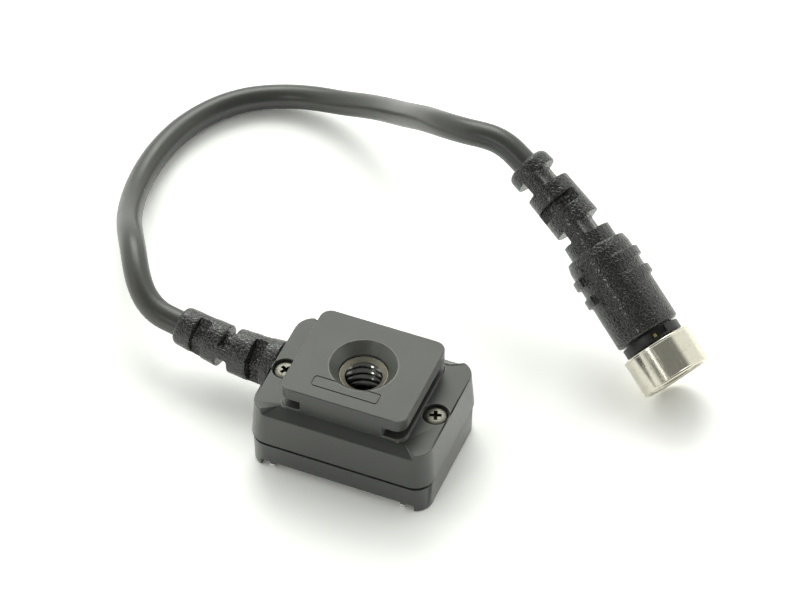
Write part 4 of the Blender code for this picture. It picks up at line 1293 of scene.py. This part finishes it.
@dataclass
class Studio:
    """Floor, lamps, world and camera."""

    camera_place: Triple = (122.331, -284.057, 345.676)
    camera_way: Triple = (-0.26548, 0.64540, -0.71623)
    lens: float = 148.5
    floor_half: float = 3.0
    paper_colour: float = 0.84
    paper_seen: float = 1.45
    light_colour: Triple = (0.98, 1.0, 0.945)
    room: float = 1.05
    dark_side: float = 0.26
    dark_way: Triple = (0.265, -0.645, 0.716)
    dark_edge: Pair = (0.46, 0.70)
    lamps: tuple[tuple[str, Triple, float, float], ...] = (
        ("key", (-0.25, 0.55, 0.60), 0.50, 2.7),
        ("front", (-0.155, -0.455, 0.345), 0.09, 0.22))

    def aimed(self, name: str, data: bpy.types.ID, place: Vector, way: Vector) -> Piece:
        """Put a camera or lamp in its place.

        Args:
            name: Its name.
            data: The camera or light.
            place: Its place in metres.
            way: The direction that it faces.

        Returns:
            The object.
        """
        made = linked(name, data)
        made.location = place
        made.rotation_mode = "QUATERNION"
        made.rotation_quaternion = way.to_track_quat("-Z", "Y")
        return made

    def camera(self) -> None:
        """Place the camera at the photograph's viewing angle."""
        data = bpy.data.cameras.new("camera")
        data.lens = self.lens
        data.clip_start = 0.01
        data.clip_end = 20.0
        bpy.context.scene.camera = self.aimed("camera", data, Vector(self.camera_place) * MM,
                                              Vector(self.camera_way))

    def floor(self) -> None:
        """Lay a pale floor that keeps the shadow and looks white from the camera."""
        shape = bmesh.new()
        bmesh.ops.create_grid(shape, x_segments=1, y_segments=1, size=self.floor_half)
        paper = bpy.data.materials.new("white_paper")
        paper.use_nodes = True
        nodes = Nodes(paper.node_tree)
        tree = paper.node_tree.nodes
        tree.remove(tree["Principled BSDF"])
        path = nodes.add("LightPath").outputs
        seen = nodes.math("MAXIMUM", path["Is Camera Ray"], path["Is Glossy Ray"])
        seen = nodes.math("MAXIMUM", seen, path["Is Transmission Ray"])
        white = nodes.blend(seen, (self.paper_colour,) * 3, (self.paper_seen,) * 3)
        matt = nodes.add("BsdfDiffuse", {"Color": white})
        nodes.fill(tree["Material Output"], {"Surface": matt.outputs[0]})
        made = as_object(shape, "floor")
        made.data.materials.append(paper)

    def world(self) -> None:
        """Light everything with a pale room whose camera side is darker."""
        world = bpy.data.worlds.new("room")
        bpy.context.scene.world = world
        world.use_nodes = True
        nodes = Nodes(world.node_tree)
        side = nodes.add("VectorMath", {0: nodes.add("TexCoord").outputs["Generated"],
                                        1: self.dark_way}, operation="DOT_PRODUCT")
        room = nodes.ramp(side.outputs["Value"], *self.dark_edge, self.room, self.dark_side)
        seen = nodes.add("LightPath").outputs["Is Camera Ray"]
        kept = nodes.math("MULTIPLY", room, nodes.math("SUBTRACT", 1.0, seen))
        nodes.fill(world.node_tree.nodes["Background"],
                   {"Color": (*self.light_colour, 1.0), "Strength": nodes.math("ADD", kept, seen)})

    def lamp(self, name: str, place: Triple, size: float, power: float) -> None:
        """Hang a soft square lamp that faces the case.

        Args:
            name: Its name.
            place: Its place in metres.
            size: Its side in metres.
            power: Its power in watts.
        """
        data = bpy.data.lights.new(name, "AREA")
        data.size = size
        data.energy = power
        data.color = self.light_colour
        self.aimed(name, data, Vector(place), -Vector(place))

    def build(self) -> None:
        """Set up the whole studio."""
        self.camera()
        self.floor()
        self.world()
        for lamp in self.lamps:
            self.lamp(*lamp)
        bpy.context.scene.view_settings.view_transform = "Standard"


def main() -> None:
    """Build every piece."""
    Studio().build()
    mouldings = Mouldings().build()
    nose = PlugNose().build()
    Lead().build([*mouldings, *nose, "pin_insulator"])
    Case().build()
    TripodBush().build()
    Shoe().build()


if __name__ == "__main__":
    main()
